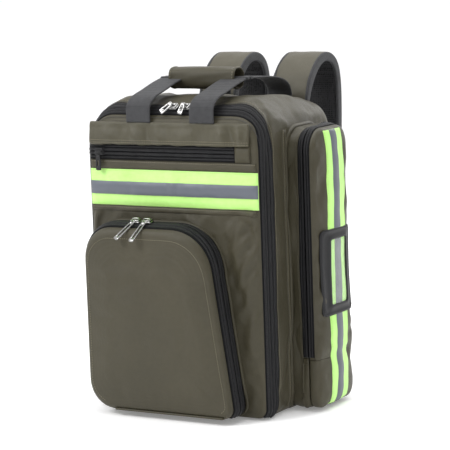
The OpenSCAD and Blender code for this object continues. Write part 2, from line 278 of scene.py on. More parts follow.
def retroreflective():
    """Grey reflective band with a fine sealed-bead pattern."""
    tree = Tree("silver_band")
    beads = tree.node("ShaderNodeTexVoronoi")
    tree.feed(beads.inputs["Vector"], tree.place)
    beads.inputs["Scale"].default_value = 900
    wear = tree.noise(30, 4)
    return tree.set(
        Base_Color=tree.blend(wear, (0.10, 0.112, 0.135), (0.13, 0.142, 0.17)),
        Metallic=0.15,
        Roughness=tree.ramp(wear, 0.3, 0.7, 0.38, 0.52),
        Normal=tree.bump(beads.outputs["Distance"], 0.1 * MM),
    )


def metal():
    """Bright nickel plate with fine scratches."""
    tree = Tree("nickel")
    scratch = tree.noise(700, 3)
    worn = tree.noise(120, 3)
    return tree.set(
        Base_Color=tree.blend(worn, (0.24, 0.24, 0.235), (0.48, 0.475, 0.465)),
        Metallic=1.0,
        Roughness=tree.ramp(worn, 0.3, 0.7, 0.14, 0.32),
        Normal=tree.bump(scratch, 0.02 * MM),
    )


def plastic(name, colour, spec=0.3):
    tree = Tree(name)
    grain = tree.noise(900, 2)
    lighter = tuple(c * 1.5 for c in colour)
    return tree.set(
        Base_Color=tree.blend(tree.noise(40, 3), colour, lighter),
        Roughness=tree.ramp(grain, 0.3, 0.7, 0.4, 0.6),
        Normal=tree.bump(grain, 0.05 * MM),
        Specular_IOR_Level=spec,
    )


def mesh_cloth():
    """Black spacer mesh: an open honeycomb of holes."""
    tree = Tree("spacer_mesh")
    cells = tree.node("ShaderNodeTexVoronoi")
    tree.feed(cells.inputs["Vector"], tree.place)
    cells.inputs["Scale"].default_value = 330
    cells.inputs["Randomness"].default_value = 0.25
    holes = tree.ramp(cells.outputs["Distance"], 0.15, 0.5, 0, 1)
    return tree.set(
        Base_Color=tree.blend(holes, (0.004, 0.004, 0.004), (0.03, 0.03, 0.032)),
        Roughness=tree.ramp(holes, 0, 1, 0.9, 0.65),
        Normal=tree.bump(holes, 0.5 * MM),
        Specular_IOR_Level=0.2,
    )


def film():
    tree = Tree("window_film")
    haze = tree.noise(60, 3)
    mat = tree.set(
        Base_Color=(0.75, 0.8, 0.76, 1),
        Roughness=tree.ramp(haze, 0.3, 0.7, 0.06, 0.16),
        Alpha=0.12,
        Coat_Weight=0.6,
        Normal=tree.bump(tree.noise(25, 2), 0.6 * MM),
    )
    return mat


nylon = cloth("olive_nylon", (0.046, 0.041, 0.024), (0.060, 0.053, 0.032), 0.7 * MM, 0.05 * MM,
              (0.36, 0.5), 0.03, spec=0.3)
# Same olive nylon as the rest, with a lighter base colour and more sheen: a painted highlight for the light
# falling on the flap from above.
flap_nylon = cloth("flap_nylon", (0.052, 0.047, 0.028), (0.072, 0.065, 0.040), 0.7 * MM, 0.05 * MM,
                   (0.34, 0.48), 0.05, spec=0.35)
strap_nylon = cloth("strap_nylon", (0.068, 0.062, 0.042), (0.088, 0.080, 0.056), 0.7 * MM, 0.05 * MM,
                    (0.4, 0.55), 0.08, spec=0.3)
lining = cloth("olive_lining", (0.060, 0.055, 0.038), (0.08, 0.072, 0.05), 0.6 * MM, 0.06 * MM, (0.6, 0.75))
webbing = cloth("webbing", (0.034, 0.034, 0.036), (0.064, 0.065, 0.069), 1.7 * MM, 0.35 * MM, (0.5, 0.68),
                0.04, 0.1 * MM, spec=0.2)
zip_cloth = cloth("zip_tape", (0.004, 0.004, 0.005), (0.008, 0.008, 0.009), 0.8 * MM, 0.12 * MM,
                  (0.5, 0.65), 0.0, 0.1 * MM, spec=0.1)
# Ridge colour of the zips: partly the coil's own glossier plastic, partly a painted highlight that makes the
# cords and coil lighter than the tape so the grooves between them read as shade.
zip_rib = cloth("zip_rib", (0.006, 0.006, 0.007), (0.013, 0.013, 0.015), 0.8 * MM, 0.2 * MM, (0.38, 0.5),
                0.02, 0.1 * MM, spec=0.3)
hivis = cloth("hivis", (0.50, 0.90, 0.22), (0.60, 0.99, 0.30), 0.8 * MM, 0.06 * MM, (0.5, 0.62), 0.1,
              0.1 * MM)
silver_band = retroreflective()
nickel = metal()
acetal = plastic("acetal", (0.012, 0.012, 0.013))
sheet_plastic = plastic("sheet_plastic", (0.03, 0.03, 0.033))
spacer = mesh_cloth()
clear_film = film()
thread_olive = plastic("thread_olive", (0.16, 0.145, 0.1))
thread_black = plastic("thread_black", (0.04, 0.04, 0.045))
thread_lime = plastic("thread_lime", (0.35, 0.6, 0.1))


# ---------------------------------------------------------------- mesh helpers

def new_object(name, points, faces, mats, face_mats=None):
    data = bpy.data.meshes.new(name)
    data.from_pydata([tuple(p) for p in points], [], faces)
    for mat in mats:
        data.materials.append(mat)
    if face_mats is not None:
        data.polygons.foreach_set("material_index", face_mats)
    data.polygons.foreach_set("use_smooth", [True] * len(data.polygons))
    data.update()
    thing = bpy.data.objects.new(name, data)
    bpy.context.scene.collection.objects.link(thing)
    return thing


def arc_ring(corners, arc, sides):
    """Rounded closed outline. corners are (u, v, radius), anticlockwise; sides says how many pieces
    each straight side has, from its corner to the next. Rings with equal counts match point by point."""
    points = []
    count = len(corners)
    starts = []
    for i in range(count):
        before, here, after = (np.array(corners[(i + k) % count][:2], float) for k in (-1, 0, 1))
        r = corners[i][2]
        u = (before - here) / np.linalg.norm(before - here)
        v = (after - here) / np.linalg.norm(after - here)
        half = math.acos(float(np.clip(u @ v, -1, 1))) / 2
        centre = here + (u + v) / np.linalg.norm(u + v) * r / math.sin(half)
        a = here + u * r / math.tan(half) - centre
        b = here + v * r / math.tan(half) - centre
        a0 = math.atan2(a[1], a[0])
        sweep = (math.atan2(b[1], b[0]) - a0 + 3 * math.pi) % (2 * math.pi) - math.pi
        angles = a0 + sweep * np.linspace(0, 1, arc + 1)
        starts.append(centre + r * np.stack([np.cos(angles), np.sin(angles)], 1))
    for i in range(count):
        points.append(starts[i])
        a, b = starts[i][-1], starts[(i + 1) % count][0]
        steps = np.linspace(0, 1, sides[i] + 1)[1:-1, None]
        points.append(a + (b - a) * steps)
    return np.concatenate(points)


def even_path(path, step):
    """The same path with points a step apart."""
    path = np.asarray(path, float)
    gaps = np.linalg.norm(np.diff(path, axis=0), axis=1)
    dist = np.concatenate([[0], np.cumsum(gaps)])
    count = max(int(dist[-1] / step), 2)
    at = np.linspace(0, dist[-1], count + 1)
    return np.stack([np.interp(at, dist, path[:, k]) for k in range(3)], 1)


def tangents(path):
    t = np.gradient(path, axis=0)
    return t / np.maximum(np.linalg.norm(t, axis=1), 1e-9)[:, None]


def unit(v):
    v = np.asarray(v, float)
    return v / np.maximum(np.linalg.norm(v, axis=-1, keepdims=True), 1e-9)


def to_spine(ring, spine_low, spine_high, t):
    """The ring drawn in towards a segment inside it."""
    target = np.clip(ring, spine_low, spine_high)
    return ring + (target - ring) * t


def loft(rings, closed=True, cap=False):
    """Quads between rings of equal length. Returns points and faces."""
    n = len(rings[0])
    points = np.concatenate(rings)
    faces = []
    for r in range(len(rings) - 1):
        for i in range(n if closed else n - 1):
            j = (i + 1) % n
            faces.append((r * n + i, r * n + j, (r + 1) * n + j, (r + 1) * n + i))
    if cap:
        faces.append(tuple(range(n))[::-1])
        faces.append(tuple((len(rings) - 1) * n + i for i in range(n)))
    return points, faces


def clean(thing, distance=0.02 * MM):
    """Merges doubled points and makes the normals face outwards."""
    mesh = bmesh.new()
    mesh.from_mesh(thing.data)
    bmesh.ops.remove_doubles(mesh, verts=mesh.verts, dist=distance)
    bmesh.ops.dissolve_degenerate(mesh, edges=mesh.edges, dist=distance / 4)
    bmesh.ops.recalc_face_normals(mesh, faces=mesh.faces)
    mesh.to_mesh(thing.data)
    mesh.free()
    return thing


def places(thing):
    co = np.zeros(len(thing.data.vertices) * 3)
    thing.data.vertices.foreach_get("co", co)
    return co.reshape(-1, 3)


def set_places(thing, co):
    thing.data.vertices.foreach_set("co", np.asarray(co, float).ravel())
    thing.data.update()


def normals(thing):
    data = np.zeros(len(thing.data.vertices) * 3)
    thing.data.vertices.foreach_get("normal", data)
    return data.reshape(-1, 3)


def bake(thing):
    """Applies the modifiers."""
    graph = bpy.context.evaluated_depsgraph_get()
    made = bpy.data.meshes.new_from_object(thing.evaluated_get(graph))
    thing.modifiers.clear()
    thing.data = made
    made.polygons.foreach_set("use_smooth", [True] * len(made.polygons))
    return thing


def subdivide(thing, levels=1):
    made = thing.modifiers.new("smooth", "SUBSURF")
    made.levels = made.render_levels = levels
    return bake(thing)


def tree_of(*things):
    """Ray-casting tree over the faces of some objects."""
    points, faces = [], []
    for thing in things:
        base = len(points)
        points += [tuple(v.co) for v in thing.data.vertices]
        faces += [tuple(base + i for i in p.vertices) for p in thing.data.polygons]
    return BVHTree.FromPolygons(points, faces)


def drape(origins, directions, tree, offset=0.0, reach=0.08):
    """Moves each point along its direction to the surface that it meets, stopping offset short of it.
    A point that meets nothing comes back as NaN."""
    out = np.full((len(origins), 3), np.nan)
    for i, (p, d) in enumerate(zip(origins, directions)):
        hit = tree.ray_cast(Vector(p), Vector(d), reach)
        if hit[0] is not None:
            out[i] = np.array(hit[0]) - np.array(d) * offset
    return out


def fill_gaps(found, fallback):
    """Puts the fallback points where nothing was met."""
    return np.where(np.isnan(found), fallback, found)


def crease(co, axes, a, b, width, height):
    """Height of one fold that runs from a to b, fading at its ends, at points seen along two axes."""
    p = co[:, axes] - np.array(a)
    d = np.array(b, float) - np.array(a)
    length = np.linalg.norm(d)
    along = (p @ d) / length ** 2
    across = (p[:, 0] * d[1] - p[:, 1] * d[0]) / length
    bend = across - 0.12 * length * np.sin(np.pi * np.clip(along, 0, 1))
    fade = np.clip(along * 3 + 0.6, 0, 1) * np.clip((1 - along) * 3 + 0.6, 0, 1)
    fade = fade * fade * (3 - 2 * fade)
    return height * fade * (np.exp(-(bend / width) ** 2) - 0.45 * np.exp(-((bend - 1.7 * width) / width) ** 2))


# ---------------------------------------------------------------- cloth simulation

simulations = []


def plan_simulation(thing, pressure, cap, pinned, shrink=0.0, stiffness=12):
    """Notes a closed mesh for the one shared simulation. pinned says which points stay."""
    simulations.append((thing, pressure, cap, pinned, shrink, stiffness))


def run_simulations(frames=20):
    scene = bpy.context.scene
    for thing, pressure, cap, pinned, shrink, stiffness in simulations:
        group = thing.vertex_groups.new(name="pins")
        held = [int(i) for i in np.nonzero(pinned(places(thing)))[0]]
        if held:
            group.add(held, 1.0, "REPLACE")
        made = thing.modifiers.new("cloth", "CLOTH")
        settings = made.settings
        settings.quality = 4
        settings.mass = 0.25
        settings.tension_stiffness = stiffness
        settings.compression_stiffness = stiffness
        settings.shear_stiffness = 5
        settings.bending_stiffness = 0.3
        settings.use_pressure = pressure > 0
        settings.uniform_pressure_force = pressure
        settings.shrink_min = shrink
        settings.effector_weights.gravity = 0
        if held:
            settings.vertex_group_mass = "pins"
        made.collision_settings.use_collision = False
        made.point_cache.frame_start = 1
        made.point_cache.frame_end = frames
    for number in range(1, frames + 1):
        scene.frame_set(number)
    graph = bpy.context.evaluated_depsgraph_get()
    for thing, pressure, cap, pinned, shrink, stiffness in simulations:
        before = places(thing)
        shape = thing.evaluated_get(graph).to_mesh()
        after = np.zeros(len(shape.vertices) * 3)
        shape.vertices.foreach_get("co", after)
        moved = after.reshape(-1, 3) - before
        far = np.linalg.norm(moved, axis=1)
        moved *= (cap / np.maximum(far, cap))[:, None]
        thing.modifiers.clear()
        set_places(thing, before + moved)
        thing.vertex_groups.clear()
    scene.frame_set(1)


# ---------------------------------------------------------------- placing pieces

def place(thing, body, slot, *nodes, bend=None):
    """Fixes a piece to one body; given a bend, it only bakes the piece's transform and fixes it to no body."""
    if bend:
        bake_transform(thing)
    else:
        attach(thing, body)
    if nodes:
        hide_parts(*nodes)
    return thing


def other_side(name):
    return name.replace("right", "left")


def place_pair(thing, body, slot, *nodes, bend=None):
    """Places a right-hand piece and its mirror image on the left."""
    data = thing.data.copy()
    co = places(thing) * (-1, 1, 1)
    data.vertices.foreach_set("co", co.ravel())
    data.flip_normals()
    data.update()
    twin = bpy.data.objects.new(other_side(thing.name) if "right" in thing.name else thing.name + "_left",
                                data)
    bpy.context.scene.collection.objects.link(twin)
    place(thing, body, slot, *nodes, bend=bend)
    mirrored_bend = None
    if bend:
        mirrored_bend = (other_side(bend[0]), *(Vector((-p[0], p[1], p[2])) for p in bend[1:]))
    place(twin, other_side(body), slot, *map(other_side, nodes), bend=mirrored_bend)
    return twin


def tube(rings):
    """Closed surface from rings that come back to the first one."""
    n = len(rings[0])
    points, faces = loft(rings + rings[:1])
    size = n * len(rings)
    return points[:size], [tuple(i % size for i in face) for face in faces]


def cut_at(thing, point, normal):
    """Keeps the part of a closed mesh behind a plane and closes the cut."""
    mesh = bmesh.new()
    mesh.from_mesh(thing.data)
    made = bmesh.ops.bisect_plane(mesh, geom=mesh.verts[:] + mesh.edges[:] + mesh.faces[:],
                                  plane_co=point, plane_no=normal, clear_outer=True)
    edges = [e for e in made["geom_cut"] if isinstance(e, bmesh.types.BMEdge)]
    bmesh.ops.triangle_fill(mesh, edges=edges, use_beauty=True)
    bmesh.ops.recalc_face_normals(mesh, faces=mesh.faces)
    mesh.to_mesh(thing.data)
    mesh.free()
    return thing


def copy_of(thing, name):
    data = thing.data.copy()
    made = bpy.data.objects.new(name, data)
    bpy.context.scene.collection.objects.link(made)
    return made


def block(name, low, high, mat, bevel=1.5 * MM):
    """Box with rounded edges."""
    mesh = bmesh.new()
    bmesh.ops.create_cube(mesh, size=1)
    low, high = Vector(low), Vector(high)
    for v in mesh.verts:
        v.co = Vector((low[k] + (v.co[k] + 0.5) * (high[k] - low[k]) for k in range(3)))
    bmesh.ops.bevel(mesh, geom=mesh.edges[:], offset=bevel, segments=3, affect="EDGES", profile=0.5)
    data = bpy.data.meshes.new(name)
    mesh.to_mesh(data)
    mesh.free()
    data.materials.append(mat)
    data.polygons.foreach_set("use_smooth", [True] * len(data.polygons))
    thing = bpy.data.objects.new(name, data)
    bpy.context.scene.collection.objects.link(thing)
    return thing


def sheet_block(name, low, high, mat, step=8 * MM, bulge=0.0, waves=0.6 * MM):
    """Soft slab: a box whose large faces are gridded, crowned and gently uneven."""
    low, high = np.array(low, float), np.array(high, float)
    size = high - low
    thin = int(np.argmin(size))
    u, v = [k for k in range(3) if k != thin]
    nu, nv = (max(int(size[k] / step), 2) for k in (u, v))
    points, faces = [], []
    for face in (0, 1):
        for a in np.linspace(0, 1, nu + 1):
            for b in np.linspace(0, 1, nv + 1):
                p = low.copy()
                p[u] += a * size[u]
                p[v] += b * size[v]
                rim = min(a, 1 - a) * size[u], min(b, 1 - b) * size[v]
                round_off = 1 - math.exp(-min(rim) / (0.35 * size[thin] + 1e-5))
                swell = bulge * math.sin(math.pi * a) * math.sin(math.pi * b)
                wave = waves * math.sin(a * 9 + b * 4) * math.sin(b * 11 + 1)
                half = size[thin] / 2 * (0.45 + 0.55 * round_off) + swell
                p[thin] += size[thin] / 2 + (half if face else -half) + wave * min(1, min(rim) / (12 * MM))
                points.append(p)
    count = (nu + 1) * (nv + 1)
    for i in range(nu):
        for j in range(nv):
            a, b = i * (nv + 1) + j, (i + 1) * (nv + 1) + j
            faces.append((a, b, b + 1, a + 1))
            faces.append((count + a, count + a + 1, count + b + 1, count + b))
    loop = [(i, 0) for i in range(nu)] + [(nu, j) for j in range(nv)]
    loop += [(i, nv) for i in range(nu, 0, -1)] + [(0, j) for j in range(nv, 0, -1)]
    ids = [i * (nv + 1) + j for i, j in loop]
    for a, b in zip(ids, ids[1:] + ids[:1]):
        faces.append((a, b, count + b, count + a))
    return clean(new_object(name, points, faces, [mat]))


# ---------------------------------------------------------------- things laid on a surface

def outward(path, closed_centre=None, plane=(0, 2)):
    """Unit normals of a path that lies in a plane, pointing away from its middle."""
    t = tangents(path)
    n = np.zeros_like(t)
    a, b = plane
    n[:, a], n[:, b] = t[:, b], -t[:, a]
    middle = path.mean(0) if closed_centre is None else closed_centre
    flip = ((path - middle) * n).sum(1) < 0
    n[flip] *= -1
    return n


def ribbon(name, path, up, across, profile, tree, mats, columns=None, lift=15 * MM, sink=0.3 * MM,
           reach=40 * MM, narrow=None):
    """Strip laid on a surface. profile lists (distance across, height), columns the material of each part.
    narrow scales the distances across at each point of the path."""
    path = np.asarray(path, float)
    up = np.broadcast_to(np.asarray(up, float), path.shape)
    across = np.broadcast_to(np.asarray(across, float), path.shape)
    ground = []
    scale = np.ones((len(path), 1)) if narrow is None else np.asarray(narrow)[:, None]
    for k, (offset, _) in enumerate(profile):
        flat = path + across * offset * scale
        found = drape(flat + up * lift, -up, tree, 0.0, reach)
        if k:
            flat = ground[-1] + across * (offset - profile[k - 1][0]) * scale
        ground.append(fill_gaps(found, flat))
    tops = [g + up * h for g, (_, h) in zip(ground, profile)]
    lows = [g - up * sink for g in ground]
    rings = [np.array([c[i] for c in tops + lows[::-1]]) for i in range(len(path))]
    points, faces = loft(rings, cap=True)
    n = len(rings[0])
    picked = [columns[i % n] if columns and i % n < len(columns) else 0 for i in range((len(rings) - 1) * n)]
    return clean(new_object(name, points, faces, mats, picked + [0, 0]), 0.005 * MM)


def stitch(name, path, up, tree, mat, spacing=3.4 * MM, length=2.3 * MM, radius=0.38 * MM, lift=15 * MM,
           height=0.1 * MM):
    """Row of thread stitches laid on a surface along a path."""
    path = even_path(np.asarray(path, float), spacing)
    up = np.broadcast_to(np.asarray(up, float), path.shape) if np.ndim(up) == 1 else up
    if len(up) != len(path):
        old = np.linspace(0, 1, len(up))
        new = np.linspace(0, 1, len(path))
        up = unit(np.stack([np.interp(new, old, up[:, k]) for k in range(3)], 1))
    ground = fill_gaps(drape(path + up * lift, -up, tree, 0.0, 50 * MM), path) if tree else path
    ground = ground + up * height
    along = tangents(ground)
    side = unit(np.cross(along, up))
    points, faces = [], []
    for p, t, s, n in zip(ground, along, side, up):
        base = len(points)
        for reach, size in ((-length / 2, 0.5), (-length / 4, 1), (length / 4, 1), (length / 2, 0.5)):
            for a, b in ((1, 0), (0, 1), (-1, 0), (0, -1)):
                points.append(p + t * reach + (s * a + n * b) * radius * size)
        for ring in range(3):
            for k in range(4):
                a, b = base + ring * 4 + k, base + ring * 4 + (k + 1) % 4
                faces.append((a, b, b + 4, a + 4))
        faces.append((base + 3, base + 2, base + 1, base))
        faces.append((base + 12, base + 13, base + 14, base + 15))
    return new_object(name, points, faces, [mat])


def join(name, things):
    """One object from several that share their materials' order."""
    points, faces, mats, picks = [], [], [], []
    for thing in things:
        base = len(points)
        points += [tuple(v.co) for v in thing.data.vertices]
        shift = []
        for mat in thing.data.materials:
            if mat not in mats:
                mats.append(mat)
            shift.append(mats.index(mat))
        for p in thing.data.polygons:
            faces.append(tuple(base + i for i in p.vertices))
            picks.append(shift[p.material_index])
        bpy.data.objects.remove(thing)
    return new_object(name, points, faces, mats, picks)


def crumple(thing, height, scale, where=None, axis_scale=(1, 1, 1)):
    """Small uneven folds along the surface normals, with a weight from where(co)."""
    co, n = places(thing), normals(thing)
    weight = where(co) if where else np.ones(len(co))
    moves = np.zeros(len(co))
    for i in np.nonzero(weight > 0.01)[0]:
        p = Vector(co[i] * axis_scale) / scale
        moves[i] = noise.noise(p) + 0.45 * noise.noise(p * 2.3)
    set_places(thing, co + n * (moves * weight * height)[:, None])


def fade(value, low, high):
    """Smooth step from 0 at low to 1 at high."""
    t = np.clip((value - low) / (high - low), 0, 1)
    return t * t * (3 - 2 * t)


# ---------------------------------------------------------------- body and lid

BODY_ARC = 10
BODY_SIDES = (34, 56, 34, 56)
WALL = 6 * MM
LID_BASE = 2 * MM
spine_low, spine_high = (0, 0.13), (0, 0.30)


def top_height(y):
    """Height of the top panel's middle line at a depth."""
    knots_y = [front_y, split_y, split_y + 16 * MM, split_y + 36 * MM, 0.03, back_y]
    knots_z = [lid_front_top, lid_split_top, crest_z - 4 * MM, crest_z, crest_z - 6 * MM, back_top]
    return float(np.interp(y, knots_y, knots_z))


def body_ring(y, inset=0.0, base=0.0):
    """The body's outline seen from the front, at one depth."""
    half = half_w - inset
    top = top_height(y) - inset
    r = max(TOP_R - inset, 6 * MM)
    base_r = max(BASE_R - inset / 2, 4 * MM)
    low = base + inset
    flat = arc_ring([(-half, low, base_r), (half, low, base_r), (half, top, r), (-half, top, r)], BODY_ARC,
                    BODY_SIDES)
    return np.stack([flat[:, 0], np.full(len(flat), y), flat[:, 1]], 1)


def face_rings(ring, low, high, steps, height):
    """Rings from an edge to the middle of a face. height(t) is how far each stands out along Y."""
    out = []
    for t in np.linspace(0, 1, steps + 1)[1:]:
        flat = to_spine(ring[:, [0, 2]], low, high, t)
        out.append(np.stack([flat[:, 0], ring[:, 1] + height(t), flat[:, 1]], 1))
    return out


def shell(name, rings, mats):
    return clean(new_object(name, *loft(rings), mats))


def flat_height(t):
    return 0.0


def make_main_body():
    """Sides, top, base and back of the bag: padded cloth walls round the main room."""
    rim = split_y + zip_gap
    deep = back_y - WALL
    inner = [body_ring(y, WALL) for y in np.linspace(deep, rim, 16)]
    rings = face_rings(inner[0], spine_low, spine_high, 10, flat_height)[::-1] + inner
    rings += [body_ring(y) for y in np.arange(rim, back_y - 13 * MM, 5 * MM)]
    for turn in np.linspace(0, math.pi / 2, 6)[1:]:
        rings.append(body_ring(back_y - 13 * MM + 12.5 * MM * math.sin(turn), 12 * MM * (1 - math.cos(turn))))
    rings += face_rings(rings[-1], spine_low, spine_high, 20, flat_height)
    return shell("body_fabric", rings, [nylon])


def make_lid():
    """Lid front and its shallow rim, as a padded cloth wall."""
    rim = split_y - zip_gap
    inner = [body_ring(y, WALL, LID_BASE) for y in (front_y + WALL, front_y + 10 * MM, rim)]
    rings = face_rings(inner[0], spine_low, spine_high, 12, flat_height)[::-1] + inner
    rings += [body_ring(y, 0, LID_BASE) for y in (rim, split_y - 4 * MM, split_y - 8 * MM)]
    for turn in np.linspace(0, math.pi / 2, 5)[1:]:
        rings.append(body_ring(front_y + 5.5 * MM - 5 * MM * math.sin(turn), 5 * MM * (1 - math.cos(turn)),
                               LID_BASE))
    rings += face_rings(rings[-1], spine_low, spine_high, 26, lambda t: -1.0 * MM * math.sin(math.pi * t / 2))
    return shell("lid_fabric", rings, [nylon])


def inside_body(co):
    """Points on the inner side of the main room's walls, or near its mouth or base."""
    ceiling = crest_z - 30 * MM
    inner = (np.abs(co[:, 0]) < half_w - 4 * MM) & (co[:, 1] < back_y - 5 * MM) & (co[:, 2] < ceiling)
    top = (co[:, 2] >= ceiling) & (co[:, 2] < np.array([top_height(y) for y in co[:, 1]]) - 4.5 * MM)
    top &= np.abs(co[:, 0]) < half_w - TOP_R
    return inner & (co[:, 2] > 4 * MM) | top | (co[:, 1] < split_y + 4 * MM) | (co[:, 2] < 3 * MM)


def held_lid(co):
    """Points of the lid at its seams and rim, which the simulation leaves alone."""
    lines = np.zeros(len(co), bool)
    for z in (flap_low.z, tape_low.z - 3 * MM, tape_high.z, topzip_low.z):
        lines |= np.abs(co[:, 2] - z) < 4 * MM
    return (co[:, 1] > front_y + 1.2 * MM) | lines | (co[:, 2] < 6 * MM) | (np.abs(co[:, 0]) > half_w - 6 * MM)


body = make_main_body()
lid = make_lid()
plan_simulation(body, 2.0, 4 * MM, inside_body, -0.012)
plan_simulation(lid, 1.5, 3 * MM, held_lid, -0.012)


# ---------------------------------------------------------------- front pocket

POCKET_ARC = 10
POCKET_SIDES = (26, 30, 14, 26)
POCKET_WALL = 3.5 * MM
floor_low_x, floor_high_x = -0.080, 0.092
pocket_spine = (-0.034, 0.135), (-0.034, 0.135)


def pocket_ring(y, inset=0.0):
    """Front pocket's outline at one depth; its right side leans out towards the base."""
    left, right = pocket_low.x + inset, pocket_high.x - inset
    base, top = pocket_low.z + inset, pocket_high.z - inset
    lean = 36 * MM
    near = max(0.0, (pocket_split_y - 4 * MM) - y) / (pocket_split_y - 4 * MM - pocket_front_y)
    top -= 9 * MM * near ** 1.5
    flat = arc_ring([
        (left, base, max(40 * MM - inset, 5 * MM)),
        (right, base, max(14 * MM - inset, 4 * MM)),
        (right - lean, top, max(62 * MM - inset, 8 * MM)),
        (left, top, max(42 * MM - inset, 8 * MM)),
    ], POCKET_ARC, POCKET_SIDES)
    return np.stack([flat[:, 0], np.full(len(flat), y), flat[:, 1]], 1)


def make_pocket_wall():
    depths = np.linspace(front_y - 0.5 * MM, pocket_split_y + zip_gap, 6)
    rings = [pocket_ring(y) for y in depths] + [pocket_ring(y, POCKET_WALL) for y in depths[::-1]]
    sides = clean(new_object("front_pocket_sides", *tube(rings), [nylon]))
    floor = block("floor", (floor_low_x + 0.5 * MM, pocket_front_y + 0.5 * MM, pocket_low.z),
                  (floor_high_x - 0.5 * MM, pocket_split_y + 2 * MM, pocket_low.z + 3 * MM), nylon, 1.2 * MM)
    return join("front_pocket_gusset", [sides, floor])


def make_pocket_cover():
    """Arched cover: a smooth, lightly crowned face with a rounded edge, hollow behind."""
    rim = pocket_split_y - zip_gap
    r = 8 * MM
    inner_y = pocket_front_y + POCKET_WALL + 1.5 * MM
    inner = [pocket_ring(y, POCKET_WALL) for y in (inner_y, inner_y + 6 * MM, rim)]
    rings = face_rings(inner[0], *pocket_spine, 8, flat_height)[::-1] + inner
    rings += [pocket_ring(y) for y in np.arange(rim, pocket_front_y + r, -3.5 * MM)]
    for turn in np.linspace(0, math.pi / 2, 6)[1:]:
        rings.append(pocket_ring(pocket_front_y + r - (r - 1.5 * MM) * math.sin(turn),
                                 r * (1 - math.cos(turn))))
    rings += face_rings(rings[-1], *pocket_spine, 22, lambda t: -1.5 * MM * math.sin(math.pi * t / 2))
    return shell("front_pocket_face", rings, [nylon])


def open_pocket_floor(cover):
    """Cuts the cover's base away where the pocket's fixed floor lies."""
    tool = block("cutter", (floor_low_x, pocket_front_y - 4 * MM, -10 * MM),
                 (floor_high_x, pocket_split_y + 10 * MM, pocket_low.z + 3.6 * MM), nylon, 0.1 * MM)
    made = cover.modifiers.new("cut", "BOOLEAN")
    made.operation = "DIFFERENCE"
    made.solver = "EXACT"
    made.object = tool
    bake(cover)
    bpy.data.objects.remove(tool)
    return clean(cover)


pocket_wall = make_pocket_wall()
pocket_cover = make_pocket_cover()


def held_cover(c):
    return (c[:, 1] > pocket_front_y + 2.6 * MM) | (c[:, 2] < pocket_low.z + 8 * MM)


plan_simulation(pocket_cover, 1.5, 3 * MM, held_cover, -0.003)


# ---------------------------------------------------------------- side pockets

SIDE_ARC = 8
SIDE_SIDES = (12, 54, 8, 54)
SIDE_WALL = 4 * MM
side_y0, side_y1 = span("right_cover", 1)
side_mid_y = (side_y0 + side_y1) / 2
side_z0, side_z1 = side_low.z, side_high.z
side_spine = (side_mid_y, side_z0 + 60 * MM), (side_mid_y, side_z1 - 60 * MM)


def side_ring(x, inset=0.0):
    """Side pocket's outline at one distance from the body."""
    flat = arc_ring([
        (side_y0 + inset, side_z0 + inset, max(16 * MM - inset / 2, 5 * MM)),
        (side_y1 - inset, side_z0 + inset, max(16 * MM - inset / 2, 5 * MM)),
        (side_y1 - inset, side_z1 - inset, max(30 * MM - inset / 2, 8 * MM)),
        (side_y0 + inset, side_z1 - inset, max(30 * MM - inset / 2, 8 * MM)),
    ], SIDE_ARC, SIDE_SIDES)
    return np.stack([np.full(len(flat), x), flat[:, 0], flat[:, 1]], 1)


def side_face_rings(ring, steps, height):
    out = []
    for t in np.linspace(0, 1, steps + 1)[1:]:
        flat = to_spine(ring[:, 1:], *side_spine, t)
        out.append(np.column_stack([ring[:, 0] + height(t), flat]))
    return out


def make_side_wall():
    depths = np.linspace(half_w - 1 * MM, side_split_x - zip_gap, 6)
    rings = [side_ring(x) for x in depths] + [side_ring(x, SIDE_WALL) for x in depths[::-1]]
    return clean(new_object("right_pocket_sides", *tube(rings), [nylon]))


def make_side_shell():
    """Outer half of a side pocket, crowned and hollow behind."""
    rim = side_split_x + zip_gap
    r = 7 * MM
    inner = [side_ring(x, SIDE_WALL) for x in (side_x1 - SIDE_WALL - 4 * MM, side_split_x + 6 * MM, rim)]
    rings = side_face_rings(inner[0], 7, flat_height)[::-1] + inner
    rings += [side_ring(x) for x in (rim, side_split_x + 4 * MM, side_split_x + 9 * MM)]
    for turn in np.linspace(0, math.pi / 2, 6)[1:]:
        rings.append(side_ring(side_split_x + 9 * MM + r * math.sin(turn), r * (1 - math.cos(turn))))
    rise = side_x1 - 1 * MM - rings[-1][0, 0]
    rings += side_face_rings(rings[-1], 10, lambda t: rise * math.sin(math.pi * t / 2))
    return shell("right_pocket_face", rings, [nylon])


side_wall = make_side_wall()
side_shell = make_side_shell()


def held_side(c):
    return (c[:, 0] < side_split_x + 10 * MM) | (np.abs(c[:, 2] - fold_z) < 6 * MM)


plan_simulation(side_shell, 1.5, 2.5 * MM, held_side, -0.01)


# ---------------------------------------------------------------- strips swept along a path

def rounded_section(width, thick, r, arc=3, across=10):
    """Cross-section of a flat strip, as (side, height) pairs."""
    r = min(r, thick * 0.49, width * 0.49)
    return arc_ring([(-width / 2, -thick / 2, r), (width / 2, -thick / 2, r),
                     (width / 2, thick / 2, r), (-width / 2, thick / 2, r)], arc, (across, 1, across, 1))


def sweep(name, path, faces_to, sections, mats, pick=None):
    """Strip along a path. faces_to gives the direction of its upper face at each point."""
    along = tangents(path)
    faces_to = np.broadcast_to(np.asarray(faces_to, float), path.shape)
    up = unit(faces_to - (faces_to * along).sum(1)[:, None] * along)
    side = np.cross(along, up)
    rings = []
    for i in range(len(path)):
        section = sections[i] if isinstance(sections, list) else sections
        rings.append(path[i] + section[:, :1] * side[i] + section[:, 1:] * up[i])
    points, faces = loft(rings, cap=True)
    n = len(rings[0])
    picks = [pick(i % n) if pick and i < (len(rings) - 1) * n else 0 for i in range(len(faces))]
    return clean(new_object(name, points, faces, mats, picks))


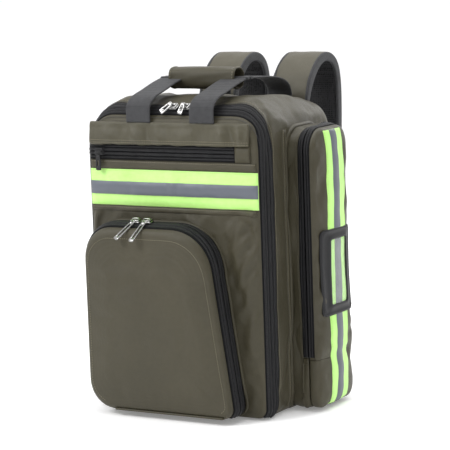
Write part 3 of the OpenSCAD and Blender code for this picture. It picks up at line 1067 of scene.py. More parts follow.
def smooth_path(points, count):
    """Catmull-Rom curve through given points."""
    p = np.array(points, float)
    p = np.vstack([2 * p[0] - p[1], p, 2 * p[-1] - p[-2]])
    out = []
    for t in np.linspace(0, len(p) - 3 - 1e-9, count):
        i = int(t)
        f = t - i
        a, b, c, d = p[i:i + 4]
        out.append(0.5 * (2 * b + (c - a) * f + (2 * a - 5 * b + 4 * c - d) * f * f
                          + (3 * b - a - 3 * c + d) * f ** 3))
    return np.array(out)


# ---------------------------------------------------------------- shoulder straps and back pads

strap_line = even_path(smooth_path([
    (strap_x, 0.1205, 0.394), (strap_x, 0.124, 0.415), (strap_x, 0.138, 0.443), (strap_x, 0.163, 0.465),
    (strap_x, 0.190, 0.471), (strap_x, 0.214, 0.458), (strap_x, 0.223, 0.425), (strap_x, 0.221, 0.360),
    (strap_x, 0.214, 0.300), (strap_x, 0.198, 0.235), (strap_x, 0.184, 0.188), (strap_x, 0.171, 0.146),
], 160), 5 * MM)
strap_up = np.cross(tangents(strap_line), X)


def strap_size(t):
    thick = 11 * MM * min(1, 0.4 + 6 * t, 0.45 + 7 * (1 - t))
    width = 60 * MM - 14 * MM * max(0, (t - 0.8) / 0.2) ** 2
    return width, thick


def make_strap():
    share = np.linspace(0, 1, len(strap_line))
    sections = []
    for t in share:
        width, thick = strap_size(t)
        sections.append(rounded_section(width, thick, thick * 0.42))
    return sweep("right_strap_pad", strap_line, strap_up, sections, [spacer, strap_nylon],
                 lambda i: int(i < 14))


def strap_edges():
    """Dark binding round both long edges of the strap."""
    share = np.linspace(0, 1, len(strap_line))
    things = []
    for way in (-1, 1):
        offset = np.array([way * (strap_size(t)[0] / 2 - 1.5 * MM) for t in share])
        path = strap_line + X * offset[:, None]
        sections = [rounded_section(4.8 * MM, strap_size(t)[1] + 2.0 * MM, 2.2 * MM, 3, 3) for t in share]
        things.append(sweep("binding", path, strap_up, sections, [webbing]))
    return join("right_strap_binding", things)


def make_back_pads():
    """Four mesh-covered foam pads with an air channel between the columns."""
    low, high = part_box("back_pad")
    gap_x, corner = 14 * MM, 18 * MM
    pads = []
    for left, right in ((low.x, -gap_x), (gap_x, high.x)):
        for bottom, top in ((low.z, low.z + 144 * MM), (low.z + 150 * MM, high.z)):
            def ring(y, inset):
                r = corner - inset / 2
                flat = arc_ring([(left + inset, bottom + inset, r), (right - inset, bottom + inset, r),
                                 (right - inset, top - inset, r), (left + inset, top - inset, r)],
                                5, (8, 16, 8, 16))
                return np.column_stack([flat[:, 0], np.full(len(flat), y), flat[:, 1]])
            base = ring(low.y - 0.4 * MM, 0)
            middle = (left + right) / 2
            spine = (middle, bottom + 38 * MM), (middle, top - 38 * MM)
            rings = face_rings(base, *spine, 5, flat_height)[::-1] + [base]
            for turn in np.linspace(0, math.pi / 2, 5)[1:]:
                rings.append(ring(low.y + 2 * MM + 6.5 * MM * math.sin(turn), 9 * MM * (1 - math.cos(turn))))
            rings += face_rings(rings[-1], *spine, 6, lambda t: 2 * MM * math.sin(math.pi * t / 2))
            pads.append(shell("back_padding", rings, [spacer]))
    for pad in pads:
        plan_simulation(pad, 3.0, 2.0 * MM, lambda c: c[:, 1] < low.y + 2 * MM)
    return pads


strap = make_strap()


def held_strap(c):
    return (c[:, 2] < 0.16) | ((c[:, 1] < 0.126) & (c[:, 2] < 0.41))


plan_simulation(strap, 3.0, 1.6 * MM, held_strap, -0.01)
back_pads = make_back_pads()

run_simulations()


# ---------------------------------------------------------------- folds in the cloth

def fold_lid():
    """Diagonal folds right of the pocket and puckers under the top seam."""
    subdivide(lid)
    co = places(lid)
    face = fade(-co[:, 1], -front_y - 3 * MM, -front_y - 0.5 * MM)
    face *= fade(half_w - np.abs(co[:, 0]), 2 * MM, 9 * MM)
    right_of_pocket = [
        ((128, 282), (92, 226), 7, 2.6), ((131, 262), (96, 205), 7, 2.4), ((132, 236), (104, 178), 7, 2.2),
        ((132, 205), (112, 160), 6, 1.6), ((110, 279), (84, 250), 6, 1.6), ((60, 278), (46, 266), 5, 0.8),
        ((130, 150), (118, 92), 8, 1.2), ((-118, 280), (-128, 240), 6, 1.5),
        ((20, 279), (66, 252), 7, 1.2), ((-60, 280), (-96, 268), 6, 0.8),
    ]
    out = np.zeros(len(co))
    for a, b, width, height in right_of_pocket:
        out += crease(co, [0, 2], np.array(a) * MM, np.array(b) * MM, width * MM, 2.1 * height * MM)
    co[:, 1] -= out * face
    set_places(lid, co)

    def below_tape(c):
        sides = fade(half_w - np.abs(c[:, 0]), 2 * MM, 9 * MM) * fade(c[:, 2], 8 * MM, 20 * MM)
        return fade(-c[:, 1], -front_y - 3 * MM, -front_y) * (sides * (c[:, 2] < tape_low.z))

    crumple(lid, 1.8 * MM, 30 * MM, below_tape)


def fold_body():
    """The side gusset's long shadow fold and the soft unevenness of the walls."""
    subdivide(body)
    co = places(body)
    side = fade(np.abs(co[:, 0]), half_w - 4 * MM, half_w - 1 * MM)
    out = np.zeros(len(co))
    for a, b, width, height in [((-74, 40), (-72, 360), 9, 1.8), ((-56, 60), (-60, 330), 6, -1.5),
                                ((-30, 392), (-70, 408), 8, 1.5), ((60, 60), (66, 350), 9, 1.5)]:
        out += crease(co, [1, 2], np.array(a) * MM, np.array(b) * MM, width * MM, height * MM)
    co[:, 0] += np.sign(co[:, 0]) * out * side
    top = fade(co[:, 2], crest_z - 40 * MM, crest_z - 20 * MM) * (np.abs(co[:, 0]) < half_w - 6 * MM)
    out = np.zeros(len(co))
    for a, b, width, height in [((60, -50), (110, 70), 9, 1.6), ((-60, -50), (-112, 60), 9, 1.6),
                                ((88, -70), (120, -30), 7, 1.4), ((0, -40), (-20, 90), 12, 1.2)]:
        out += crease(co, [0, 1], np.array(a) * MM, np.array(b) * MM, width * MM, height * MM)
    co[:, 2] += out * top
    set_places(body, co)

    def behind_zip(c):
        return fade(c[:, 1], split_y + 6 * MM, split_y + 26 * MM) * (c[:, 2] > 6 * MM)

    crumple(body, 2.2 * MM, 42 * MM, behind_zip, (1, 1, 0.55))


def fold_side(thing):
    subdivide(thing)
    co = places(thing)
    out = np.zeros(len(co))
    for a, b, width, height in [((-34, 372), (-24, 300), 6, 1.8), ((-28, 352), (-20, 250), 5, 1.4),
                                ((-34, 240), (-22, 150), 6, 1.2), ((50, 360), (58, 260), 7, 1.6),
                                ((46, 60), (52, 130), 8, 1.4), ((-30, 60), (-16, 20), 7, 1.2)]:
        out += crease(co, [1, 2], np.array(a) * MM, np.array(b) * MM, width * MM, height * MM)
    co[:, 0] += out * fade(co[:, 0], side_split_x + 10 * MM, side_split_x + 15 * MM)
    set_places(thing, co)
    crumple(thing, 1.3 * MM, 34 * MM, lambda c: fade(c[:, 0], side_split_x + 6 * MM, side_split_x + 14 * MM))


def fold_gusset():
    """Front wall of a side pocket: a few long vertical waves."""
    subdivide(side_wall)

    def between_seams(c):
        return fade(c[:, 0], half_w, half_w + 6 * MM) * fade(-c[:, 0], -side_split_x, -side_split_x + 8 * MM)

    crumple(side_wall, 4.0 * MM, 28 * MM, between_seams, (1, 1, 0.3))


fold_lid()
fold_body()
fold_side(side_shell)
fold_gusset()
subdivide(pocket_cover)
crumple(pocket_cover, 0.7 * MM, 70 * MM, lambda c: fade(-c[:, 1], -pocket_front_y - 4 * MM, -pocket_front_y))
subdivide(strap)
crumple(strap, 0.8 * MM, 26 * MM, lambda c: fade(c[:, 2], 0.17, 0.2))
for pad in back_pads:
    subdivide(pad)

body_tree, lid_tree = tree_of(body), tree_of(lid)
cover_tree, wall_tree = tree_of(pocket_cover), tree_of(pocket_wall)
side_cover_tree, side_wall_tree = tree_of(side_shell), tree_of(side_wall)
open_pocket_floor(pocket_cover)

place(body, "bag", "shell_fabric", "main_shell")
place(lid, "lid", "shell_fabric", "lid_panel")
place(pocket_wall, "lid", "shell_fabric", "front_pocket_wall")
place(pocket_cover, "front_pocket_door", "shell_fabric", "front_pocket_cover")
place_pair(side_wall, "bag", "shell_fabric", "right_pocket_wall")

side_foot = cut_at(copy_of(side_shell, "right_pocket_foot"), (0, 0, fold_z), (0, 0, 1))
place_pair(side_foot, "bag", "shell_fabric")
cut_at(side_shell, (0, 0, fold_z + 0.4 * MM), (0, 0, -1))
place_pair(side_shell, "right_pocket_door", "shell_fabric", "right_cover")
place_pair(strap, "right_shoulder_strap", "shell_fabric", "right_strap")
place_pair(strap_edges(), "right_shoulder_strap", "webbing")
pads = join("back_pads", back_pads)
place(pads, "bag", "mesh", "back_pad")


# ---------------------------------------------------------------- zips

def zip_profile(teeth, edge):
    """One zip tape, sewn edge to teeth, as (distance across, height): two cords and the coil's ridge."""
    marks = [(0, 0.3), (0.02, 1.2), (0.16, 1.3), (0.2, 0.8), (0.24, 1.7), (0.32, 2.2), (0.40, 1.7),
             (0.44, 0.7), (0.56, 0.7), (0.60, 1.9), (0.72, 2.9), (0.84, 2.9), (0.93, 1.9), (1.0, 0.3)]
    return [(edge + (teeth - edge) * t, h * MM) for t, h in marks]


# Which columns of the zip profile take the lighter ridge colour (1), a painted highlight on cords and coil,
# and which take the black tape (0).
ZIP_LIT_RIDGE_COLUMNS = [0, 0, 0, 1, 1, 1, 1, 0, 1, 1, 1, 1, 0]


def ring_path(ring, first, last):
    """Part of a closed outline, from one point number round to another."""
    n = len(ring)
    count = (last - first) % n + 1
    return np.array([ring[(first + i) % n] for i in range(count)])


def zip_band(name, path, across, edge, teeth, tree, plane, centre, narrow=None):
    up = outward(path, centre, plane)
    return ribbon(name, path, up, across, zip_profile(teeth, edge), tree, [zip_cloth, zip_rib],
                  ZIP_LIT_RIDGE_COLUMNS, narrow=narrow)


body_first = BODY_ARC + 1 + BODY_SIDES[0] - 1 + 4
body_last = 6
zip_half = span("main_zip_body_tape", 1)[1] - split_y
body_centre = np.array((0, 0, 0.2))


def main_zip():
    rear = ring_path(body_ring(split_y + 6 * MM), body_first, body_last)
    fore = ring_path(body_ring(split_y - 6 * MM, 0, LID_BASE), body_first, body_last)

    def shift(path, y):
        return path * (1, 0, 1) + Y * y

    def over_top(path):
        return fade(path[:, 2], lid_front_top - 30 * MM, lid_front_top)

    body_half = zip_band("main_zip_body_half", shift(rear, split_y), Y, zip_half, zip_gap, body_tree,
                         (0, 2), body_centre,
                         1 - 0.2 * over_top(rear))
    lid_half = zip_band("main_zip_lid_half", shift(fore, split_y), Y, -zip_half + 2 * MM, -zip_gap,
                        lid_tree, (0, 2), body_centre,
                        1 - 0.45 * over_top(fore))
    place(body_half, "bag", "zip_tape", "main_zip_body_tape")
    place(lid_half, "lid", "zip_tape", "main_zip_lid_tape")
    for path, tree, body_name, offset, label in ((rear, body_tree, "bag", zip_half + 3 * MM, "body"),
                                                 (rear, body_tree, "bag", zip_half - 2 * MM, "body_tape"),
                                                 (fore, lid_tree, "lid", -zip_half + 4 * MM, "lid_tape")):
        up = outward(path, body_centre)
        inner = 1.2 * MM if "tape" in label else 0.1 * MM
        thread = thread_black if "tape" in label else thread_olive
        row = stitch("main_zip_stitches_" + label, shift(path, split_y + offset), up, tree, thread,
                     height=inner)
        place(row, body_name, "zip_tape")


def front_zip():
    first = POCKET_ARC + POCKET_SIDES[0] + 3
    last = 7
    path = ring_path(pocket_ring(pocket_split_y), first, last)
    centre = np.array((-0.02, 0, 0.12))
    wall_edge = span("front_zip_wall_tape", 1)[1] - pocket_split_y
    cover_edge = span("front_zip_cover_tape", 1)[0] - pocket_split_y
    wall_half = zip_band("front_zip_wall_half", path, Y, wall_edge, zip_gap, wall_tree, (0, 2), centre)
    cover_half = zip_band("front_zip_cover_half", path, Y, cover_edge, -zip_gap, cover_tree, (0, 2), centre)
    place(wall_half, "lid", "zip_tape", "front_zip_wall_tape")
    place(cover_half, "front_pocket_door", "zip_tape", "front_zip_cover_tape")
    face_edge = to_spine(pocket_ring(pocket_front_y, 4 * MM)[:, [0, 2]], *pocket_spine, 0.04)
    line = np.column_stack([face_edge[:, 0], np.full(len(face_edge), pocket_front_y), face_edge[:, 1]])
    row = stitch("front_pocket_stitches", ring_path(line, first, last), -Y, cover_tree, thread_olive)
    place(row, "front_pocket_door", "shell_fabric")
    foot_edge = ring_path(pocket_ring(front_y), 0, len(pocket_ring(front_y)) - 1)
    welt = ribbon("front_pocket_welt", foot_edge + outward(foot_edge, centre) * 1 * MM, -Y,
                  outward(foot_edge, centre),
                  [(-2 * MM, 0.4 * MM), (-1.2 * MM, 1.8 * MM), (0.5 * MM, 2.4 * MM), (2 * MM, 1.8 * MM),
                   (3 * MM, 0.3 * MM)],
                  lid_tree, [nylon])
    place(welt, "lid", "shell_fabric")


def side_zips():
    ring = side_ring(side_split_x)
    above = [i for i in range(len(ring)) if ring[i, 2] >= fold_z + 1 * MM]
    path = np.array([ring[i] for i in above])
    centre = np.array((0, side_mid_y, 0.2))
    wall_edge = span("right_zip_wall_tape", 0)[0] - side_split_x
    cover_edge = span("right_zip_cover_tape", 0)[1] - side_split_x
    wall_half = zip_band("right_zip_wall_half", path, X, wall_edge, -zip_gap, side_wall_tree, (1, 2), centre)
    cover_half = zip_band("right_zip_cover_half", path, X, cover_edge, zip_gap, side_cover_tree, (1, 2),
                          centre)
    place_pair(wall_half, "bag", "zip_tape", "right_zip_wall_tape")
    place_pair(cover_half, "right_pocket_door", "zip_tape", "right_zip_cover_tape")
    up = outward(path, centre, (1, 2))
    row = stitch("right_zip_stitches", path + X * (wall_edge - 2.5 * MM), up, side_wall_tree, thread_olive)
    place_pair(row, "bag", "shell_fabric")
    ends = []
    for y, way in ((side_y0, -1), (side_y1, 1)):
        steps = np.linspace(wall_edge, 0, 5) - 0.3 * MM
        line = np.array([(side_split_x + dx, y, fold_z - 2 * MM) for dx in steps])
        ends.append(ribbon("end", line, Y * way, Z, [(-5 * MM, 0.2 * MM), (-4 * MM, 1.6 * MM),
                                                     (3 * MM, 1.8 * MM), (4 * MM, 0.4 * MM)],
                           side_wall_tree, [nylon]))
    place_pair(join("right_zip_end_tabs", ends), "bag", "shell_fabric")


main_zip()
front_zip()
side_zips()


# ---------------------------------------------------------------- lid front: flap, top pocket, tape

def lid_line(z, x0, x1, count=90):
    return np.array([(x, front_y, z) for x in np.linspace(x0, x1, count)])


def reflective_tape(name, path, up, across, width, tree, lift=15 * MM, height=1.0 * MM):
    """Lime tape with a silver middle, slightly raised, sewn down along both edges."""
    marks = [(-0.5, 0.2), (-0.495, 1.0), (-0.3, 1.0), (-0.2, 1.0), (-0.195, 1.3), (0, 1.35), (0.16, 1.3),
             (0.165, 1.0), (0.3, 1.0), (0.495, 1.0), (0.5, 0.2)]
    profile = [(width * t, height * h) for t, h in marks]
    return ribbon(name, path, up, across, profile, tree, [hivis, silver_band],
                  [0, 0, 0, 1, 1, 1, 1, 0, 0, 0], lift)


def front_tape():
    z = (tape_low.z + tape_high.z) / 2
    tape = reflective_tape("front_reflective_tape", lid_line(z, tape_low.x + 1 * MM, tape_high.x - 1 * MM),
                           -Y, Z,
                           tape_high.z - tape_low.z, lid_tree)
    place(tape, "lid", "hivis_tape", "front_tape")
    rows = [stitch("row", lid_line(z + dz, tape_low.x + 3 * MM, tape_high.x - 3 * MM), -Y, lid_tree,
                   thread_lime, spacing=3 * MM, radius=0.25 * MM, height=1.0 * MM)
            for dz in (-23 * MM, -10.8 * MM, 9 * MM, 23 * MM)]
    place(join("front_tape_stitches", rows), "lid", "hivis_tape")
    for name, low, high, height in (("seam_under_tape", tape_low.z - 8 * MM, tape_low.z - 0.5 * MM, 1.5 * MM),
                                    ("strip_over_tape", tape_high.z + 0.5 * MM, topzip_low.z - 0.5 * MM,
                                     1.5 * MM)):
        middle, half = (low + high) / 2, (high - low) / 2
        profile = [(-half, 0.1 * MM), (-half + 0.8 * MM, height), (0, height * 1.1),
                   (half - 0.8 * MM, height), (half, 0.1 * MM)]
        strip = ribbon(name, lid_line(middle, tape_low.x + 3 * MM, tape_high.x - 3 * MM), -Y, Z, profile,
                       lid_tree, [nylon])
        tree = tree_of(strip)
        place(strip, "lid", "shell_fabric")
        row = stitch(name + "_stitches", lid_line(high - 2.2 * MM, tape_low.x + 5 * MM,
                                                  tape_high.x - 5 * MM), -Y, tree, thread_olive)
        place(row, "lid", "shell_fabric")


def top_pocket():
    """Zip of the upper front pocket and the tab that closes its end."""
    z = (topzip_low.z + topzip_high.z) / 2
    half = (topzip_high.z - topzip_low.z) / 2
    lower = zip_profile(0, -half)
    upper = [(-offset, height) for offset, height in lower[-2::-1]]
    band = ribbon("top_pocket_zip_band", lid_line(z, topzip_low.x, topzip_high.x), -Y, Z, lower + upper,
                  lid_tree,
                  [zip_cloth, zip_rib], ZIP_LIT_RIDGE_COLUMNS + ZIP_LIT_RIDGE_COLUMNS[::-1])
    place(band, "lid", "zip_tape", "top_pocket_zip")
    tab_low, tab_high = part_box("zip_end_tab")
    middle, reach = (tab_low.z + tab_high.z) / 2, (tab_high.z - tab_low.z) / 2
    profile = [(-reach, 0.2 * MM), (-reach + 1 * MM, 2.2 * MM), (0, 2.6 * MM), (reach - 1 * MM, 2.2 * MM),
               (reach, 0.2 * MM)]
    tab = ribbon("zip_end_patch", lid_line(middle, tab_low.x, tab_high.x, 8), -Y, Z, profile, lid_tree,
                 [nylon])
    place(tab, "lid", "shell_fabric", "zip_end_tab")


def top_flap():
    """Flap with soft upright puckers; its top edge rolls over."""
    xs = np.linspace(flap_low.x, flap_high.x, 110)
    zs = np.linspace(flap_low.z - 1 * MM, flap_high.z + 2.5 * MM, 18)
    rings = []
    for x in xs:
        top = min(1.0, 0.35 + (x - flap_low.x) / (6 * MM), 0.35 + (flap_high.x - x) / (6 * MM))
        outer, inner = [], []
        for z in zs:
            t = (z - zs[0]) / (zs[-1] - zs[0])
            roll = math.sqrt(max(0.0, 1 - ((t - 0.8) / 0.2) ** 2)) if t > 0.8 else 1.0
            swell = 2.0 * MM + 3.4 * MM * math.sin(math.pi * min(1, 0.25 + t)) * top
            pucker = 0.0
            for middle, width, height in ((-95, 9, 3.2), (-76, 6, -2.4), (-52, 8, 3.2), (-30, 6, -2.2),
                                          (-14, 9, 2.6), (22, 14, 1.8),
                                          (58, 12, -2.0), (86, 6, 3.2), (100, 5, -3.0), (113, 5, 3.0)):
                skew = x / MM + 10 * t - middle
                pucker += height * MM * math.exp(-(skew / width) ** 2)
            depth = (swell + pucker * math.sin(math.pi * min(1, t * 1.1))) * (0.15 + 0.85 * roll)
            outer.append((x, front_y - 0.8 * MM - depth, z))
            inner.append((x, front_y + 1.2 * MM, z))
        rings.append(np.array(outer + inner[::-1]))
    points, faces = loft(rings, cap=True)
    # The flap takes the lighter copy of the nylon, a painted highlight.
    flap = clean(new_object("top_flap_cloth", points, faces, [flap_nylon]))
    subdivide(flap)
    crumple(flap, 1.5 * MM, 20 * MM, lambda c: fade(-c[:, 1], -front_y, -front_y + 2 * MM), (1, 1, 0.6))
    tree = tree_of(flap)
    place(flap, "lid", "shell_fabric", "top_flap")
    rows = [stitch("row", lid_line(z, flap_low.x + 2 * MM, flap_high.x - 2 * MM), -Y, tree, thread_olive)
            for z in (flap_low.z + 2.2 * MM, flap_low.z + 5.4 * MM)]
    place(join("flap_stitches", rows), "lid", "shell_fabric")


front_tape()
top_pocket()
top_flap()


# ---------------------------------------------------------------- side tape, window, seams

def make_side_tape():
    """Reflective tape down the outer face of a side pocket, over the fold that its cover opens on."""
    low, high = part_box("right_cover_tape")
    middle, width = (low.y + high.y) / 2, high.y - low.y
    full = tree_of(side_shell, side_foot)
    path = np.array([(side_x1, middle, z) for z in np.linspace(side_z0 + 3 * MM, side_z1 - 4 * MM, 150)])
    made = reflective_tape("right_reflective_tape", path, X, Y, width, full, height=0.7 * MM, lift=10 * MM)
    tape = copy_of(made, "tape_copy")
    place_pair(made, "bag", "hivis_tape", "right_lower_tape", "right_cover_tape",
               bend=("right_pocket_door", (side_x1, side_mid_y, fold_z - 2 * MM),
                     (side_x1, side_mid_y, fold_z + 3 * MM)))
    rows = [stitch("row", path[32:] + Y * dy, X, full, thread_lime, spacing=3 * MM, radius=0.25 * MM,
                   height=0.7 * MM, lift=8 * MM)
            for dy in (-width / 2 + 2 * MM, width / 2 - 2 * MM)]
    place_pair(join("right_tape_stitches", rows), "right_pocket_door", "hivis_tape")
    return tape


def side_window(tape):
    """Name window: a raised rubber frame with rounded corners round a clear film."""
    low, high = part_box("right_window_frame")
    film_low, film_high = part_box("right_window_film")
    edge, lip = 0.5 * MM, 1 * MM
    outer = (low.y + edge, high.y - edge, low.z + edge, high.z - edge)
    inner = (film_low.y + lip, film_high.y - lip, film_low.z + lip, film_high.z - lip)

    def frame_ring(t):
        """Rounded outline between the frame's outer edge at 0 and its inner edge at 1."""
        y0, y1, z0, z1 = (o + (i - o) * t for o, i in zip(outer, inner))
        r = 8 * MM - 5 * MM * t
        flat = arc_ring([(y0, z0, r), (y1, z0, r), (y1, z1, r), (y0, z1, r)], 5, (6, 10, 6, 10))
        return np.column_stack([np.full(len(flat), 0.0), flat])

    under = tree_of(side_shell, tape)

    def laid(points):
        """The points moved in x onto the face of the pocket and its tape."""
        points = np.asarray(points, float)
        start = points * (0, 1, 1) + X * (side_x1 + 15 * MM)
        flat = points * (0, 1, 1) + X * (side_x1 - 2 * MM)
        return fill_gaps(drape(start, np.broadcast_to(-X, start.shape), under), flat)

    def level(points):
        """The points with their height averaged over the seven nearest round the ring."""
        points[:, 0] = np.mean([np.roll(points[:, 0], k) for k in range(-3, 4)], axis=0)
        return points

    steps = [(-0.3, 0), (1.6, 0), (2.4, 0.06), (2.4, 0.2), (1.7, 0.26), (1.7, 0.7), (2.4, 0.76),
             (2.4, 0.93), (1.4, 1), (-0.3, 1)]
    rings = [level(laid(frame_ring(t))) + X * height * MM for height, t in steps]
    border = clean(new_object("right_window_border", *tube(rings), [acetal]))
    place_pair(border, "right_pocket_door", "webbing", "right_window_frame")
    pane = sheet_block("right_window_pane", (0.2 * MM, film_low.y, film_low.z),
                       (0.8 * MM, film_high.y, film_high.z),
                       clear_film, 6 * MM, 0.0, 0.1 * MM)
    flat_pane = places(pane)
    set_places(pane, laid(flat_pane) + flat_pane * (1, 0, 0))
    place_pair(pane, "right_pocket_door", "window_film", "right_window_film")
    corners = [(0, low.y + 3 * MM, low.z + 3 * MM), (0, high.y - 3 * MM, low.z + 3 * MM),
               (0, high.y - 3 * MM, high.z - 3 * MM),
               (0, low.y + 3 * MM, high.z - 3 * MM), (0, low.y + 3 * MM, low.z + 3 * MM)]
    row = stitch("right_window_stitches", even_path(corners, 3 * MM) + X * side_x1, X, tree_of(border),
                 thread_black)
    place_pair(row, "right_pocket_door", "webbing")


def body_seams():
    """Upright sewn strip down each side of the body and the rolled seams of the side pockets."""
    things = []
    strip_y, half, height = -43.5 * MM, 11 * MM / 2, 1.4 * MM
    path = np.array([(half_w, strip_y, z) for z in np.linspace(8 * MM, crest_z - 42 * MM, 90)])
    profile = [(-half, 0.2 * MM), (-half + 1 * MM, height), (0, height * 0.8), (half - 1 * MM, height),
               (half, 0.2 * MM)]
    strip = ribbon("right_gusset_strip", path, X, Y, profile, body_tree, [nylon])
    tree = tree_of(strip)
    things.append(strip)
    for dy in (-3.4 * MM, 3.4 * MM):
        things.append(stitch("row", path + Y * dy, X, tree, thread_olive))
    place_pair(join("right_gusset_seam", things), "bag", "shell_fabric")
    ring = side_ring(half_w + 19 * MM)
    path = ring_path(ring, 0, len(ring) - 1)
    up = outward(path, np.array((0, side_mid_y, 0.2)), (1, 2))
    profile = [(-1.6 * MM, 0.1 * MM), (-0.8 * MM, 1.2 * MM), (0.8 * MM, 1.2 * MM), (1.6 * MM, 0.1 * MM)]
    welt = ribbon("right_pocket_welt_wall", path, up, X, profile, side_wall_tree, [nylon])
    place_pair(welt, "bag", "shell_fabric")
    edge = side_ring(half_w + 1 * MM)
    up = outward(edge, np.array((0, side_mid_y, 0.2)), (1, 2))
    closed = np.vstack([edge, edge[:1]])
    closed_up = np.vstack([up, up[:1]])
    root = ribbon("right_pocket_root", closed + closed_up * 2 * MM, np.broadcast_to(X, closed.shape),
                  closed_up,
                  [(-3 * MM, 0.2 * MM), (-2 * MM, 2.2 * MM), (0, 3.0 * MM), (2 * MM, 2.2 * MM),
                   (3 * MM, 0.2 * MM)], body_tree, [nylon])
    place_pair(root, "bag", "shell_fabric")


tape_surface = make_side_tape()
side_window(tape_surface)
bpy.data.objects.remove(tape_surface)
body_seams()


# ---------------------------------------------------------------- handles

leg_x = 50 * MM
web_w = span("front_handle", 0)[1] - leg_x
web_w = 2 * web_w
web_section = rounded_section(web_w, 2.6 * MM, 1.2 * MM, 2, 16)


def leg(name, points, x, up):
    path = even_path(smooth_path([(x, y, z) for y, z in points], 80), 3 * MM)
    return sweep(name, path, up, web_section, [webbing])


def handles():
    """Webbing grab handles whose tops run through the grip wrap."""
    front = [(front_y - 1.4 * MM, lid_front_top - 1 * MM), (front_y - 1.6 * MM, lid_front_top + 10 * MM),
             (front_y + 0.5 * MM, lid_front_top + 22 * MM), (front_y + 14 * MM, lid_front_top + 32 * MM),
             (front_y + 40 * MM, grip_z - 13 * MM), (front_y + 70 * MM,
                                                     grip_z - 5 * MM), (grip_y - 4 * MM, grip_z)]
    rear = [(back_y - 1 * MM, back_top + 1 * MM), (back_y + 2 * MM, back_top + 14 * MM),
            (back_y - 6 * MM, back_top + 27 * MM),
            (back_y - 26 * MM, back_top + 36 * MM), (back_y - 60 * MM,
                                                     grip_z - 3 * MM), (grip_y + 7 * MM, grip_z)]
    for name, points, node, body_name, root, foot in (
            ("front_handle_web", front, "front_handle", "front_grab_handle", "lid",
             (0, front_y - 1.4 * MM, lid_front_top)),
            ("rear_handle_web", rear, "rear_handle", "rear_grab_handle", "bag",
             (0, back_y - 1 * MM, back_top))):
        outer_side = Z + Y * (-1 if node == "front_handle" else 1)
        things = [leg("leg", points, way * leg_x, outer_side) for way in (-1, 1)]
        end_y = points[-1][0]
        path = np.array([(x, end_y, grip_z) for x in np.linspace(-leg_x - web_w / 2, leg_x + web_w / 2, 30)])
        things.append(sweep("bar", path, Z, rounded_section(9 * MM, 4 * MM, 1.8 * MM), [webbing]))
        web = join(name, things)
        place(web, root, "webbing", node, bend=(body_name, foot, Vector(foot) + Vector((0, 0, 9 * MM))))


def grip():
    """Wrap of bag cloth over foam, closed by a lapped flap at the rear."""
    length = wrap_high.x - wrap_low.x
    middle = np.array((0, grip_y, grip_z))
    rings = []
    radius = 16.5 * MM
    stops = [(-0.5, 0.70), (-0.5, 0.93), (-0.488, 1.0), (-0.455, 1.0), (-0.44, 0.94), (-0.40, 0.965),
             (-0.2, 1.0), (0, 1.01),
             (0.2, 1.0), (0.40, 0.965), (0.44, 0.94), (0.455, 1.0), (0.488, 1.0), (0.5, 0.93), (0.5, 0.70)]
    for t, size in stops:
        ring = []
        for a in np.linspace(0, 2 * math.pi, 48, endpoint=False):
            c, s = math.cos(a), math.sin(a)
            r = radius * size / (abs(c) ** 2.6 + abs(s) ** 2.6) ** (1 / 2.6) * 0.94
            r += 0.5 * MM * math.sin(7 * a + 9 * t) * (abs(t) < 0.45)
            if 0.12 < a < 0.62:
                r += 1.1 * MM
            ring.append(middle + np.array((t * length, c * r * 0.98, s * r)))
        rings.append(np.array(ring))
    points, faces = tube(rings)
    wrap = clean(new_object("grip_cover", *(points, faces), [nylon]))
    return wrap


handles()
wrap = grip()
subdivide(wrap)
wrap_tree = tree_of(wrap)
place(wrap, "front_grab_handle", "shell_fabric", "grip_wrap")
hem = []
for x in (wrap_low.x + 3.5 * MM, wrap_high.x - 3.5 * MM):
    turns = np.linspace(0.2, 2 * math.pi - 0.2, 40)
    up = np.stack([np.zeros(40), np.cos(turns), np.sin(turns)], 1)
    loop = np.array((x, grip_y, grip_z)) + up * 15 * MM
    hem.append(stitch("hem", loop, up, wrap_tree, thread_olive))
place(join("grip_stitches", hem), "front_grab_handle", "shell_fabric")


# ---------------------------------------------------------------- strap roots, locks and webbing

def strap_roots():
    """Sewn panel that holds the tops of the straps."""
    low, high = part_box("strap_yoke")
    middle, half = (low.z + high.z) / 2, (high.z - low.z) / 2
    path = np.array([(x, back_y, middle) for x in np.linspace(low.x, high.x, 60)])
    profile = [(-half, 0.3 * MM), (-half + 1.5 * MM, 2.6 * MM), (0, 3.2 * MM), (half - 1.5 * MM, 2.6 * MM),
               (half, 0.3 * MM)]
    yoke = ribbon("yoke_panel", path, Y, Z, profile, body_tree, [nylon])
    tree = tree_of(yoke)
    place(yoke, "bag", "shell_fabric", "strap_yoke")
    rows = [stitch("row", path * (0.96, 1, 1) + Z * dz, Y, tree,
                   thread_olive) for dz in (-half + 4 * MM, half - 4 * MM)]
    place(join("yoke_stitches", rows), "bag", "shell_fabric")


